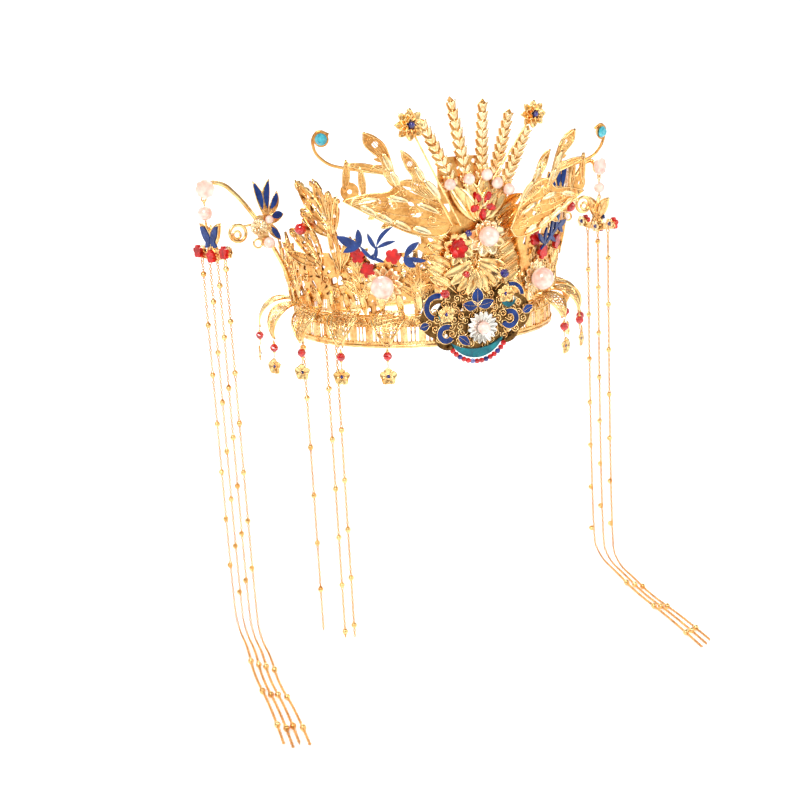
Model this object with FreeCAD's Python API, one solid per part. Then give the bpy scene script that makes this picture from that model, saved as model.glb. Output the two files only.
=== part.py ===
import FreeCAD, Part
import math
import os
from collections import namedtuple

os.makedirs("parts", exist_ok=True)

# Phoenix crown, in millimetres. The origin is the centre of the band's lower rim.
# The front faces -Y, the wearer's head comes up along +Z, and angles round the
# ring are counted from the front, positive towards +X.

# Driving dimensions
RING_RADIUS = 70.0
RING_WALL = 1.4
BAND_HEIGHT = 17.0
RAIL_RADIUS = 1.1
SLOT_COUNT = 48
SLOT_WIDTH = 5.6
SLOT_LOW = 3.4
SLOT_HIGH = 10.6
SHEET = 1.0
PLATE_LOW = 0.25
ON_PLATE = PLATE_LOW + SHEET + 0.3
SEAT_GAP = 0.3
BORE_GAP = 0.12
PEG_RADIUS = 0.5
TABLE_HEIGHT = -162.0

# The ornament walls lean out as a cone above the band.
WALL_RADIUS = 70.6
WALL_BASE = 20.0
WALL_LEAN = 9.0
WALL_LOW = 24.0
WALL_HIGH = 48.0
WALL_FIRST = 17.0
WALL_LAST = 102.0
FOOT_WIDTH = 3.0

LEAF_WIDTH = 16.5
LEAF_RISE = 2.6
LEAF_SHEET = 0.8

CHAIN_RADIUS = 0.9
BALL_RADIUS = 1.65
BALL_PITCH = 27.0
TASSEL_X = 113.0
TASSEL_Y = 3.0
STRAND_TOP = 43.0
STRAND_SPREAD = 22.0
LYING_LENGTH = 128.0

FAN_LEAN = 3.0
FAN_RADIUS = 68.6
PLAQUE_RADIUS = RING_RADIUS + RAIL_RADIUS - RING_WALL / 2 + SEAT_GAP
PLAQUE_HEIGHT = 5.0

Blade = namedtuple("Blade", "root_x root_y tip_x tip_y width bend")
Disc = namedtuple("Disc", "x y radius")
Leaf = namedtuple("Leaf", "angle drop reach turn")
Pearl = namedtuple("Pearl", "x y radius")
Ear = namedtuple("Ear", "root_x root_y tip_x tip_y")
Frond = namedtuple("Frond", "angle height size")
Strand = namedtuple("Strand", "offset end_x end_y ball_start")
Tassel = namedtuple("Tassel", "side facing lift strands")


def vec(x, y, z=0.0):
    """A vector in millimetres."""
    return FreeCAD.Vector(x, y, z)


def frame_from(along, up, origin):
    """Placement with its x and y along two square directions."""
    normal = along.cross(up)
    return FreeCAD.Placement(FreeCAD.Matrix(
        along.x, up.x, normal.x, origin.x,
        along.y, up.y, normal.y, origin.y,
        along.z, up.z, normal.z, origin.z,
        0, 0, 0, 1))


def facing(angle, origin, lean=0.0):
    """Placement at a point: x runs across, y up and z towards an angle."""
    turn = math.radians(angle)
    tilt = math.radians(lean)
    outward = vec(math.sin(turn), -math.cos(turn))
    along = vec(math.cos(turn), math.sin(turn))
    up = vec(0, 0, math.cos(tilt)) + outward * math.sin(tilt)
    return frame_from(along, up, origin)


def site(angle, radius, height, lean=0.0):
    """Placement on the ring: x runs along it, y up and z outwards."""
    turn = math.radians(angle)
    origin = vec(radius * math.sin(turn), -radius * math.cos(turn), height)
    return facing(angle, origin, lean)


def wall_site(angle):
    """Placement on the leaning ornament wall."""
    return site(angle, WALL_RADIUS, WALL_BASE, WALL_LEAN)


def placed(shape, placement):
    """A copy of a shape at a placement."""
    copy = shape.copy()
    copy.Placement = placement.multiply(copy.Placement)
    return copy


def mirrored(shape):
    """The same shape on the crown's other side."""
    return shape.mirror(vec(0, 0, 0), vec(1, 0, 0))


def joined(shapes):
    """One solid from shapes that meet."""
    shapes = list(shapes)
    if len(shapes) == 1:
        return shapes[0]
    return shapes[0].multiFuse(shapes[1:]).removeSplitter()


def loose(shapes):
    """Solids that stay apart, in one node."""
    return Part.makeCompound([solid for shape in shapes for solid in shape.Solids])


def blade_face(row):
    """Flat leaf between two arcs; bend moves its middle to the left of its run."""
    root = vec(row.root_x, row.root_y)
    tip = vec(row.tip_x, row.tip_y)
    middle = (root + tip) * 0.5
    run = (tip - root).normalize()
    side = vec(-run.y, run.x)
    left = middle + side * (row.bend + row.width / 2)
    right = middle + side * (row.bend - row.width / 2)
    edges = [Part.Arc(root, left, tip).toShape(), Part.Arc(tip, right, root).toShape()]
    return Part.Face(Part.Wire(edges))


def blade(row, thickness=SHEET, low=0.0):
    """A flat leaf of sheet metal."""
    solid = blade_face(row).extrude(vec(0, 0, thickness))
    solid.translate(vec(0, 0, low))
    return solid


def disc(row, thickness=SHEET, low=0.0):
    """A round plate."""
    return Part.makeCylinder(row.radius, thickness, vec(row.x, row.y, low))


def pierced(solid, blades=(), discs=(), depth=4 * SHEET):
    """A plate with leaf-shaped and round openings cut through."""
    cutters = [blade(row, 2 * depth, -depth) for row in blades]
    cutters += [disc(row, 2 * depth, -depth) for row in discs]
    return solid.cut(Part.makeCompound(cutters)) if cutters else solid


def plate(blades, discs=(), thickness=SHEET, low=0.0):
    """Sheet metal cut to joined leaves and discs."""
    solids = [blade(row, thickness, low) for row in blades]
    solids += [disc(row, thickness, low) for row in discs]
    return joined(solids)


def rounded_path(points, share=0.45):
    """Straight runs joined by tangent arcs; returns the wire and the arc radii."""
    edges = []
    radii = []
    start = points[0]
    for before, corner, after in zip(points, points[1:], points[2:]):
        run_in = corner - before
        run_out = after - corner
        setback = share * min(run_in.Length, run_out.Length)
        half_turn = run_in.getAngle(run_out) / 2
        radius = setback / math.tan(half_turn)
        run_in.normalize()
        run_out.normalize()
        first = corner - run_in * setback
        last = corner + run_out * setback
        inward = (run_out - run_in).normalize()
        centre = corner + inward * (radius / math.cos(half_turn))
        middle = centre - inward * radius
        edges.append(Part.LineSegment(start, first).toShape())
        edges.append(Part.Arc(first, middle, last).toShape())
        radii.append(radius)
        start = last
    edges.append(Part.LineSegment(start, points[-1]).toShape())
    return Part.Wire(edges), radii


def tube(points, radius):
    """A round wire along straight runs and tangent arcs."""
    wire, _ = rounded_path(points)
    profile = Part.Wire([Part.Circle(points[0], points[1] - points[0], radius).toShape()])
    return wire.makePipeShell([profile], True, False)


def bar(start, end, radius):
    """A straight round wire."""
    return Part.makeCylinder(radius, (end - start).Length, start, end - start)


def eyelet(centre, axis, radius=1.3, wire_radius=0.35):
    """A small wire ring."""
    return Part.makeTorus(radius, wire_radius, centre, axis)


def drilled_bead(centre, axis, radius, bore):
    """A round bead with a hole right through."""
    start = centre - axis * (1.5 * radius)
    return Part.makeSphere(radius, centre).cut(Part.makeCylinder(bore, 3 * radius, start, axis))


def pearl(row, low):
    """A half-drilled pearl that sits above a plate."""
    bore = Part.makeCylinder(PEG_RADIUS + BORE_GAP, 1.4 * row.radius, vec(row.x, row.y, low - 0.2))
    return Part.makeSphere(row.radius, vec(row.x, row.y, low + row.radius)).cut(bore)


def pearl_peg(row, low):
    """The peg that a half-drilled pearl is glued on."""
    return Part.makeCylinder(PEG_RADIUS, low + row.radius, vec(row.x, row.y, 0))


def blossom(x, y, radius, petals, petal_width, thickness=SHEET, low=0.0, turn=0.0):
    """Pointed petals round a small heart, as one plate."""
    solids = [disc(Disc(x, y, 0.32 * radius), thickness, low)]
    for index in range(petals):
        angle = math.radians(turn + index * 360.0 / petals)
        tip_x = x + radius * math.cos(angle)
        tip_y = y + radius * math.sin(angle)
        solids.append(blade(Blade(x, y, tip_x, tip_y, petal_width, 0.0), thickness, low))
    return joined(solids)


def round_flower(x, y, radius, thickness=SHEET, low=0.0, petals=5, turn=90.0, hole=0.0):
    """A flower of round petals, as one plate."""
    petal = 0.4 * radius
    solids = [disc(Disc(x, y, 0.45 * radius), thickness, low)]
    for index in range(petals):
        angle = math.radians(turn + index * 360.0 / petals)
        away = radius - petal
        petal_row = Disc(x + away * math.cos(angle), y + away * math.sin(angle), petal)
        solids.append(disc(petal_row, thickness, low))
    flower = joined(solids)
    return pierced(flower, discs=[Disc(x, y, hole)]) if hole else flower


def cut_stone(x, y, length, width, depth, low, turn=0.0, sides=8):
    """A stone with a table, a row of crown facets and a row of pavilion facets."""
    angle = math.radians(turn)
    wires = []
    for scale, height in ((0.5, low), (1.0, low + 0.5 * depth), (0.6, low + depth)):
        corners = []
        for index in range(sides + 1):
            step = 2 * math.pi * index / sides
            along = length / 2 * math.cos(step) * scale
            across = width / 2 * math.sin(step) * scale
            corners.append(vec(x + along * math.cos(angle) - across * math.sin(angle),
                               y + along * math.sin(angle) + across * math.cos(angle), height))
        corners[-1] = corners[0]
        wires.append(Part.makePolygon(corners))
    return Part.makeLoft(wires, True, True)


# Band

def base_band():
    """The ring: a slotted wall between two rounded rails."""
    inner = RING_RADIUS - RING_WALL
    centre = RING_RADIUS - RING_WALL / 2
    wall = Part.makeCylinder(RING_RADIUS, BAND_HEIGHT - 2 * RAIL_RADIUS, vec(0, 0, RAIL_RADIUS))
    wall = wall.cut(Part.makeCylinder(inner, BAND_HEIGHT))
    slots = []
    for index in range(SLOT_COUNT):
        slot = Part.makeBox(SLOT_WIDTH, SLOT_HIGH - SLOT_LOW, 4 * RING_WALL,
                            vec(-SLOT_WIDTH / 2, SLOT_LOW, -2 * RING_WALL))
        slots.append(placed(slot, site((index + 0.5) * 360.0 / SLOT_COUNT, centre, 0)))
    wall = wall.cut(Part.makeCompound(slots))
    rails = [Part.makeTorus(centre, RAIL_RADIUS, vec(0, 0, height), vec(0, 0, 1))
             for height in (RAIL_RADIUS, BAND_HEIGHT - RAIL_RADIUS)]
    return joined([wall] + rails)


# Mesh leaves round the band and the drops on their tips

LEAVES_LEFT = (
    Leaf(-34.0, 13.0, 16.0, -26.0), Leaf(-50.5, 14.0, 16.0, -36.0), Leaf(-68.0, 14.0, 16.0, -46.0),
    Leaf(-86.5, 15.0, 17.0, -58.0), Leaf(-104.5, 12.5, 20.0, -104.5))
LEAVES_RIGHT = (
    Leaf(34.0, 9.0, 16.5, 34.0), Leaf(51.0, 10.0, 16.5, 45.0), Leaf(68.0, 12.0, 16.5, 60.0),
    Leaf(86.5, 14.0, 16.5, 75.0), Leaf(104.5, 13.0, 16.5, 104.5))
LEAF_HOLES = (
    Blade(5.0, -1.3, 15.5, -3.8, 2.4, -0.7),
    Blade(5.0, 1.3, 15.5, 3.8, 2.4, 0.7),
    Blade(7.0, 0.0, 18.5, 0.0, 1.8, 0.0),
)


def leaf_tip(leaf):
    """A leaf's tip in its own place on the ring: out from the axis, and up."""
    return vec(0, BAND_HEIGHT - leaf.drop, RING_RADIUS + leaf.reach)


def mesh_leaf(leaf):
    """A pierced leaf that arches out over the band and droops."""
    root = vec(0, BAND_HEIGHT + SHEET + SEAT_GAP, RING_RADIUS - 1.0)
    crest = vec(0, BAND_HEIGHT + LEAF_RISE, RING_RADIUS + 0.55 * leaf.reach)
    tip = leaf_tip(leaf)
    outer = Part.Arc(root, crest, tip).toShape()
    centre = outer.Curve.Center
    shrink = 1.0 - LEAF_SHEET / outer.Curve.Radius
    inner_points = [centre + (point - centre) * shrink for point in (tip, crest, root)]
    inner = Part.Arc(*inner_points).toShape()
    ends = [Part.LineSegment(tip, inner_points[0]).toShape(),
            Part.LineSegment(inner_points[2], root).toShape()]
    strip = Part.Face(Part.Wire([outer, ends[0], inner, ends[1]])).extrude(vec(LEAF_WIDTH, 0, 0))
    strip.translate(vec(-LEAF_WIDTH / 2, 0, 0))
    chord = tip - root
    length = chord.Length
    scale = length / 22.0
    place = frame_from(chord.normalize(), vec(1, 0, 0), root)
    outline = blade(Blade(-0.08 * length, 0, length + 0.4, 0, LEAF_WIDTH, 0), 40, -20)
    holes = [blade(Blade(row.root_x * scale, row.root_y, row.tip_x * scale, row.tip_y,
                         row.width, row.bend), 40, -20) for row in LEAF_HOLES]
    leaf_solid = strip.common(placed(outline, place))
    leaf_solid = leaf_solid.cut(placed(Part.makeCompound(holes), place))
    return placed(leaf_solid, site(leaf.angle, 0, 0))


FLOWER_RADIUS = 4.6
DROP_BEAD_RADIUS = 2.2
FLOWER_DROP = 14.4
BEAD_DROP = 4.5


def drop_wire(top, flower_turn=0.0):
    """Loop, pin and flat flower that hang below a point, as one piece."""
    loop = eyelet(top + vec(0, 0, -1.25), vec(0, 1, 0), 0.7, 0.25)
    pin = bar(top + vec(0, 0, -1.9), top + vec(0, 0, FLOWER_RADIUS - FLOWER_DROP - 1.0), 0.35)
    flower = round_flower(0, -FLOWER_DROP, FLOWER_RADIUS, 0.7, -0.35, hole=1.2)
    flower = placed(flower, facing(flower_turn, top))
    return joined([loop, pin, flower])


def drop_bead(top):
    """The drilled bead on a drop's pin."""
    return drilled_bead(top + vec(0, 0, -BEAD_DROP), vec(0, 0, 1), DROP_BEAD_RADIUS, 0.35 + BORE_GAP)


def leaf_drop_top(leaf):
    """Where a leaf's drop hangs, just clear of the leaf's tip."""
    place = site(leaf.angle, 0, 0)
    return place.multVec(leaf_tip(leaf) + vec(0, -0.1, 0.1))


# Side chains and tassel strands

SideChain = namedtuple("SideChain", "angle radius top foot first_ball")
SIDE_CHAINS = (
    SideChain(-58.2, 75.0, 20.3, 4.5, 9.0), SideChain(-65.0, 73.2, 12.6, 1.0, 8.0),
    SideChain(-79.0, 75.0, 20.3, 0.0, 23.0))
HOOK_RISE = 1.95

LEFT_STRANDS = (
    Strand(-0.5, -127.0, -2.0, 6.0), Strand(-0.17, -124.0, 3.0, 20.0),
    Strand(0.17, -120.5, 1.0, 11.0), Strand(0.5, -116.5, 4.0, 2.0))
RIGHT_STRANDS = (
    Strand(-0.4, 102.8, -3.0, 14.0), Strand(0.0, 98.6, 0.0, 5.0), Strand(0.4, 94.4, 2.0, 22.0))


TASSEL_LEFT = Tassel(-1, -70.0, 0.0, LEFT_STRANDS)
TASSEL_RIGHT = Tassel(1, 100.0, -2.5, RIGHT_STRANDS)


def head_place(tassel):
    """A tassel head's plane at the end of its arm."""
    return facing(tassel.facing, vec(tassel.side * TASSEL_X, TASSEL_Y, tassel.lift))


def balls_on(points, first):
    """Ball centres at an even pitch along straight runs."""
    centres = []
    left = first
    for start, end in zip(points, points[1:]):
        run = end - start
        length = run.Length
        while left < length - BALL_RADIUS:
            centres.append(start + run * (left / length))
            left += BALL_PITCH
        left -= length
    return centres


def side_chain(chain):
    """A strand that hangs straight from the wall's lower edge, down to about the table."""
    place = site(chain.angle, chain.radius, 0)
    top = place.multVec(vec(0, chain.top, 0))
    foot = place.multVec(vec(0, TABLE_HEIGHT + CHAIN_RADIUS + chain.foot, 0))
    centres = balls_on([top, foot], chain.first_ball)
    balls = [Part.makeSphere(BALL_RADIUS, centre) for centre in centres]
    return joined([bar(top, foot, CHAIN_RADIUS)] + balls)


def strand_points(tassel, strand):
    """A tassel strand's route: down, and forward along the table."""
    top = head_place(tassel).multVec(vec(strand.offset * STRAND_SPREAD, STRAND_TOP, 0))
    floor = TABLE_HEIGHT + BALL_RADIUS
    end = vec(strand.end_x, TASSEL_Y - LYING_LENGTH - strand.end_y, floor)
    reach = end - vec(top.x, top.y, floor)
    sway = vec(-reach.y, reach.x).normalize()
    return [top,
            vec(top.x, top.y, floor + 14.0),
            vec(top.x, top.y, floor) + reach * 0.09 + vec(0, 0, 2.5),
            vec(top.x, top.y, floor) + reach * 0.24 + sway * 1.5,
            vec(top.x, top.y, floor) + reach * 0.48 - sway * 1.0,
            vec(top.x, top.y, floor) + reach * 0.75 + sway * 1.0,
            end]


def tassel_strand(tassel, strand):
    """A strand of a tassel with its balls, and a printed check of its tube."""
    points = strand_points(tassel, strand)
    wire, radii = rounded_path(points)
    strand_tube = tube(points, CHAIN_RADIUS)
    ratio = strand_tube.Volume / (math.pi * CHAIN_RADIUS ** 2 * wire.Length)
    print("strand length", round(wire.Length, 1), "volume ratio", round(ratio, 4),
          "valid", strand_tube.isValid(), "arc radii", [round(radius, 1) for radius in radii])
    floor = TABLE_HEIGHT + BALL_RADIUS
    balls = [Part.makeSphere(BALL_RADIUS, vec(c.x, c.y, max(c.z, floor)))
             for c in balls_on([points[0], points[1]], strand.ball_start)]
    balls += [Part.makeSphere(BALL_RADIUS, middle_of(first, second))
              for first, second in zip(points[3:], points[4:])]
    return joined([strand_tube] + balls)


def middle_of(first, second):
    """The point halfway between two points."""
    return (first + second) * 0.5


# Front plaque

CLOUD_DISCS = (
    Disc(0, 4, 15.0), Disc(-20.5, 9.5, 9.6), Disc(19.5, 9.0, 9.6), Disc(-10, 17.5, 8.0),
    Disc(10, 17.5, 8.0), Disc(0, 18.5, 6.5), Disc(-16.0, 0.5, 7.0), Disc(15.5, 1.0, 7.0))
CLOUD_OPENINGS = (
    Blade(-25, 11, -19, 17, 3.0, 1.0), Blade(24, 11, 18, 17, 3.0, -1.0),
    Blade(-12, 9, -7, 14, 2.6, 0.0), Blade(12, 9, 7, 14, 2.6, 0.0),
    Blade(-20, 3, -15, -2, 2.6, 0.0), Blade(20, 3, 15, -2, 2.6, 0.0))
BLUE_TREFOIL = (
    Blade(0, 14.0, 0.2, 23.5, 6.4, 0.0), Blade(0.5, 14.5, -8.2, 15.8, 5.0, 0.6),
    Blade(-0.5, 14.5, 9.0, 16.2, 5.0, -0.6))
BLUE_LEAVES = (
    Blade(-25.8, 7.6, -31.6, 6.2, 4.0, 0.0), Blade(24.2, 8.4, 30.4, 11.6, 4.0, 0.0),
    Blade(-11.4, 0.4, -4.8, -5.0, 4.2, 0.2))
LEFT_SPIRAL = Disc(-17.4, 2.0, 5.0)
RIGHT_SPIRAL = Disc(17.2, 6.2, 5.2)
TEAL_DISCS = (Disc(-17.6, 11.0, 3.4), Disc(17.0, 15.8, 3.8))
FRINGE_CENTRE = Disc(-1.3, 4.2, 17.3)
FRINGE_BEADS = 14
FRINGE_FIRST = -141.0
FRINGE_LAST = -35.0
FRINGE_BEAD_RADIUS = 1.5
FRINGE_BEAD_LENGTH = 2.2
FRINGE_OUT = 3.1
FRINGE_WIRE = 0.25
FRINGE_HOOK = 7.3
GROUND = 1.2
MOON_OUTER = Disc(-1.3, 4.2, 15.6)
MOON_INNER = Disc(-1.4, 18.4, 25.3)
DAISY = Disc(1.2, 3.6, 7.9)
DAISY_HOLE = 2.7
DAISY_PEARL = Pearl(1.2, 3.6, 3.2)
DAISY_LOW = 2.9
DAISY_PEARL_LOW = 2.6


def plaque_place():
    """The plaque's own plane in front of the band."""
    return site(0, PLAQUE_RADIUS, PLAQUE_HEIGHT)


def arc_band(centre, inner, outer, start, end, thickness, low):
    """A flat curved strip."""
    solid = Part.makeCylinder(outer, thickness, vec(centre.x, centre.y, low), vec(0, 0, 1), end - start)
    solid = solid.cut(Part.makeCylinder(inner, 3 * thickness, vec(centre.x, centre.y, low - thickness)))
    solid.rotate(vec(centre.x, centre.y), vec(0, 0, 1), start)
    return solid


def crescent(outer, inner, thickness, low):
    """A moon shape: one disc less another."""
    return disc(outer, thickness, low).cut(disc(inner, 3 * thickness, low - thickness))


def fringe_point(index):
    """A fringe bead's place below the crescent."""
    step = (FRINGE_LAST - FRINGE_FIRST) / (FRINGE_BEADS - 1)
    angle = math.radians(FRINGE_FIRST + index * step)
    return vec(FRINGE_CENTRE.x + FRINGE_CENTRE.radius * math.cos(angle),
               FRINGE_CENTRE.y + FRINGE_CENTRE.radius * math.sin(angle), FRINGE_OUT)


def fringe_wire():
    """The bent wire of the fringe, from hook to hook."""
    profile = Part.Face(Part.Wire([Part.Circle(
        vec(FRINGE_CENTRE.radius, 0), vec(0, 1), FRINGE_WIRE).toShape()]))
    sweep = FRINGE_LAST - FRINGE_FIRST + 2 * FRINGE_HOOK
    wire = profile.revolve(vec(0, 0, 0), vec(0, 0, 1), sweep)
    wire.rotate(vec(0, 0, 0), vec(0, 0, 1), FRINGE_FIRST - FRINGE_HOOK)
    wire.translate(vec(FRINGE_CENTRE.x, FRINGE_CENTRE.y, FRINGE_OUT))
    return wire


def plaque_backing():
    """Cloud-shaped filigree ground with the wire that the fringe beads are strung on."""
    ground = pierced(plate([], CLOUD_DISCS, 1.2), CLOUD_OPENINGS)
    wire = fringe_wire()
    hooks = []
    for degrees in (FRINGE_FIRST - FRINGE_HOOK, FRINGE_LAST + FRINGE_HOOK):
        angle = math.radians(degrees)
        away = vec(math.cos(angle), math.sin(angle))
        spot = vec(FRINGE_CENTRE.x, FRINGE_CENTRE.y) + away * FRINGE_CENTRE.radius
        inner = vec(FRINGE_CENTRE.x, FRINGE_CENTRE.y) + away * (0.72 * FRINGE_CENTRE.radius)
        hooks.append(blade(Blade(inner.x, inner.y, spot.x, spot.y, 2.2, 0.0), GROUND))
        hooks.append(disc(Disc(spot.x, spot.y, 0.9), FRINGE_OUT + 0.3))
    boss = Part.makeCylinder(2.0, DAISY_PEARL_LOW - 0.2, vec(DAISY.x, DAISY.y, 0))
    peg = pearl_peg(DAISY_PEARL, DAISY_PEARL_LOW)
    return placed(joined([ground, wire, boss, peg] + hooks), plaque_place())


def fringe_beads():
    """The drilled beads on the fringe's wire."""
    beads = []
    for index in range(FRINGE_BEADS):
        point = fringe_point(index)
        radial = point - vec(FRINGE_CENTRE.x, FRINGE_CENTRE.y, FRINGE_OUT)
        axis = vec(-radial.y, radial.x).normalize()
        start = point - axis * (FRINGE_BEAD_LENGTH / 2)
        slab = Part.makeCylinder(2 * FRINGE_BEAD_RADIUS, FRINGE_BEAD_LENGTH, start, axis)
        bead = drilled_bead(point, axis, FRINGE_BEAD_RADIUS, FRINGE_WIRE + 2 * BORE_GAP)
        beads.append(bead.common(slab))
    return placed(loose(beads), plaque_place())


def plaque_enamel_blue():
    """Raised blue enamel: trefoil, scrolls and leaves."""
    low = GROUND
    pieces = [plate(BLUE_TREFOIL, (), 1.0, low)]
    pieces += [blade(row, 1.0, low) for row in BLUE_LEAVES]
    pieces.append(arc_band(Disc(-21.6, 15.6, 7.2), 4.2, 7.2, 70, 245, 1.0, low))
    pieces.append(arc_band(LEFT_SPIRAL, 2.0, LEFT_SPIRAL.radius, 60, 320, 1.0, low))
    pieces.append(arc_band(RIGHT_SPIRAL, 2.2, RIGHT_SPIRAL.radius, -150, 110, 1.0, low))
    pieces.append(arc_band(Disc(18.6, 17.6, 7.0), 4.6, 7.0, 0, 100, 1.0, low))
    return placed(loose(pieces), plaque_place())


def plaque_enamel_teal():
    """Raised teal enamel: the long lower crescent and two small ones."""
    low = GROUND
    moon = crescent(MOON_OUTER, MOON_INNER, 1.6, low)
    moon = moon.cut(disc(LEFT_SPIRAL._replace(radius=5.4), 3, low))
    moon = moon.cut(disc(RIGHT_SPIRAL._replace(radius=5.6), 3, low))
    pieces = [moon]
    pieces.append(crescent(TEAL_DISCS[0], Disc(-16.4, 11.8, 2.4), 1.0, low))
    pieces.append(crescent(TEAL_DISCS[1], Disc(18.0, 16.8, 2.7), 1.0, low))
    return placed(loose(pieces), plaque_place())


def plaque_daisy():
    """Sixteen long petals on a cupped heart."""
    flower = blossom(DAISY.x, DAISY.y, DAISY.radius, 16, 2.5, 0.9, DAISY_LOW, 6.0)
    heart = disc(Disc(DAISY.x, DAISY.y, 3.9), 0.9, DAISY_LOW)
    flower = pierced(joined([flower, heart]), discs=[Disc(DAISY.x, DAISY.y, DAISY_HOLE)])
    return placed(flower, plaque_place())


def daisy_pearl():
    """The daisy's pearl, sunk in its heart and glued on the ground's peg."""
    return placed(pearl(DAISY_PEARL, DAISY_PEARL_LOW), plaque_place())


# Centre fan

EARS = (Ear(-10.0, 57.0, -27.5, 90.5), Ear(-3.6, 58.5, -12.2, 99.7), Ear(3.6, 59.5, 4.8, 98.1),
        Ear(9.4, 58.0, 18.9, 92.9), Ear(13.8, 54.0, 29.1, 84.6))
EAR_WIDTH = 7.2
EAR_TEETH = 9
FAN_PEARLS = (Pearl(-14.1, 59.4, 2.75), Pearl(-4.2, 61.3, 2.75), Pearl(5.2, 62.8, 2.75),
              Pearl(10.6, 58.6, 2.75), Pearl(16.8, 55.2, 2.75))
CRYSTAL_FLOWER = Disc(3.6, 48.6, 4.6)
CENTRE_PEARL = Pearl(5.0, 33.6, 4.9)
RED_CUP = Disc(-10.0, 28.4, 4.3)
PLUM_BEAD = Pearl(-4.4, 35.4, 1.7)
FRONT_STUD = Pearl(-5.4, 15.4, 1.7)
FRONT_DROPS = (Disc(-19.0, 32.0, 0.0), Disc(13.0, 39.0, 0.0))
CENTRE_DISCS = (
    Disc(0, 15, 15.0), Disc(-9.5, 13, 9.5), Disc(9.5, 13, 9.5), Disc(0, 34, 17.5), Disc(-10.5, 27, 9.0),
    Disc(10.5, 27, 9.0), Disc(1.5, 50, 14.0))
BACKING_HOLES = (Disc(-12, 68, 1.0), Disc(-8, 66.5, 0.8), Disc(-6.5, 70, 0.8), Disc(0.0, 69.5, 1.0))
STEM_LEFT = Ear(-9.5, 40.0, -34.5, 88.0)
STEM_RIGHT = Ear(7.9, 60.7, 29.0, 90.0)
STEM_WIRE = 0.5


def fan_place():
    """The centre plate's own plane above the band."""
    return site(0, FAN_RADIUS, WALL_BASE, FAN_LEAN)


def ear(row):
    """A serrated wheat-ear feather as one flat plate."""
    root = vec(row.root_x, row.root_y)
    run = vec(row.tip_x, row.tip_y) - root
    length = run.Length
    run.normalize()
    side = vec(-run.y, run.x)
    tooth = length / (EAR_TEETH + 0.6)
    left = []
    for index in range(EAR_TEETH):
        half = EAR_WIDTH / 2 * (1.0 - 0.45 * (index / EAR_TEETH) ** 3)
        left.append((tooth * index, 0.66 * half))
        left.append((tooth * (index + 0.9), half))
    corners = [root + run * along + side * across for along, across in left]
    corners.append(root + run * length)
    corners += [root + run * along - side * across for along, across in reversed(left)]
    corners.append(corners[0])
    face = Part.Face(Part.makePolygon(corners))
    return face.extrude(vec(0, 0, SHEET))


def centre_plate():
    """The upright plate in front, which carries the fan, the pearls and the flowers."""
    solids = [disc(row, 1.2) for row in CENTRE_DISCS]
    top = Part.makeBox(22, 22, 1.2, vec(-18.5, 50, 0))
    solids.append(pierced(top, discs=BACKING_HOLES))
    for x in (-9.0, 9.0):
        solids.append(Part.makeBox(FOOT_WIDTH, 8, 1.2, vec(x - FOOT_WIDTH / 2, -2.65, 0)))
    body = joined(solids).cut(Part.makeBox(60, 20, 6, vec(-30, -22.7, -2)))
    low = GROUND
    petals = blossom(CENTRE_PEARL.x, CENTRE_PEARL.y, 10.5, 7, 6.0, 0.9, low, 12)
    cup_petals = blossom(RED_CUP.x, RED_CUP.y, 8.6, 7, 4.6, 0.9, low, 25)
    petals = petals.cut(disc(Disc(RED_CUP.x, RED_CUP.y, 8.6), 4, 0))
    petals = petals.cut(Part.makeBox(60, 20, 6, vec(-30, 40.2, 0)))
    pegs = [pearl_peg(CENTRE_PEARL, 2.4), pearl_peg(PLUM_BEAD, 2.4), pearl_peg(FRONT_STUD, 1.5),
            pearl_peg(Pearl(RED_CUP.x, RED_CUP.y, 1.4), 2.4)]
    plate_solid = placed(joined([body, petals, cup_petals] + pegs), fan_place())
    return joined([plate_solid] + front_pegs())


def feather_fan():
    """Five wheat-ear feathers on a fluted root, with the pegs of the pearls."""
    low = GROUND
    flutes = [Blade(2.0, 44.0, row.x, row.y + 3.0, 8.5, 0.0) for row in FAN_PEARLS]
    root = plate(flutes, (Disc(CRYSTAL_FLOWER.x, CRYSTAL_FLOWER.y, 4.5),), SHEET, low)
    ears = []
    for row in EARS:
        solid = ear(row)
        solid.translate(vec(0, 0, low))
        ears.append(solid)
    pegs = []
    for row in FAN_PEARLS:
        peg = pearl_peg(row, low + SHEET + 0.4)
        pegs.append(peg.cut(Part.makeCylinder(2, low, vec(row.x, row.y, 0))))
    arms = []
    for index in range(5):
        angle = math.radians(-90 + 72 * index)
        tip_x = CRYSTAL_FLOWER.x + 8.0 * math.cos(angle)
        tip_y = CRYSTAL_FLOWER.y + 8.0 * math.sin(angle)
        arms.append(blade(Blade(CRYSTAL_FLOWER.x, CRYSTAL_FLOWER.y, tip_x, tip_y, 3.0, 0), SHEET, low))
    return placed(joined([root] + ears + pegs + arms), fan_place())


def fan_pearls():
    """Five pearls at the feet of the feathers."""
    return placed(loose([pearl(row, 1.2 + SHEET + 0.4) for row in FAN_PEARLS]), fan_place())


def crystal_flower():
    """Five marquise stones round a point."""
    stones = []
    for index in range(5):
        turn = -90 + 72 * index
        angle = math.radians(turn)
        x = CRYSTAL_FLOWER.x + CRYSTAL_FLOWER.radius * math.cos(angle)
        y = CRYSTAL_FLOWER.y + CRYSTAL_FLOWER.radius * math.sin(angle)
        stones.append(cut_stone(x, y, 6.6, 4.0, 2.4, 2.5, turn))
    return placed(loose(stones), fan_place())


def centre_pearl():
    """The large pearl in the middle of the front."""
    return placed(pearl(CENTRE_PEARL, 2.4), fan_place())


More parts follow.
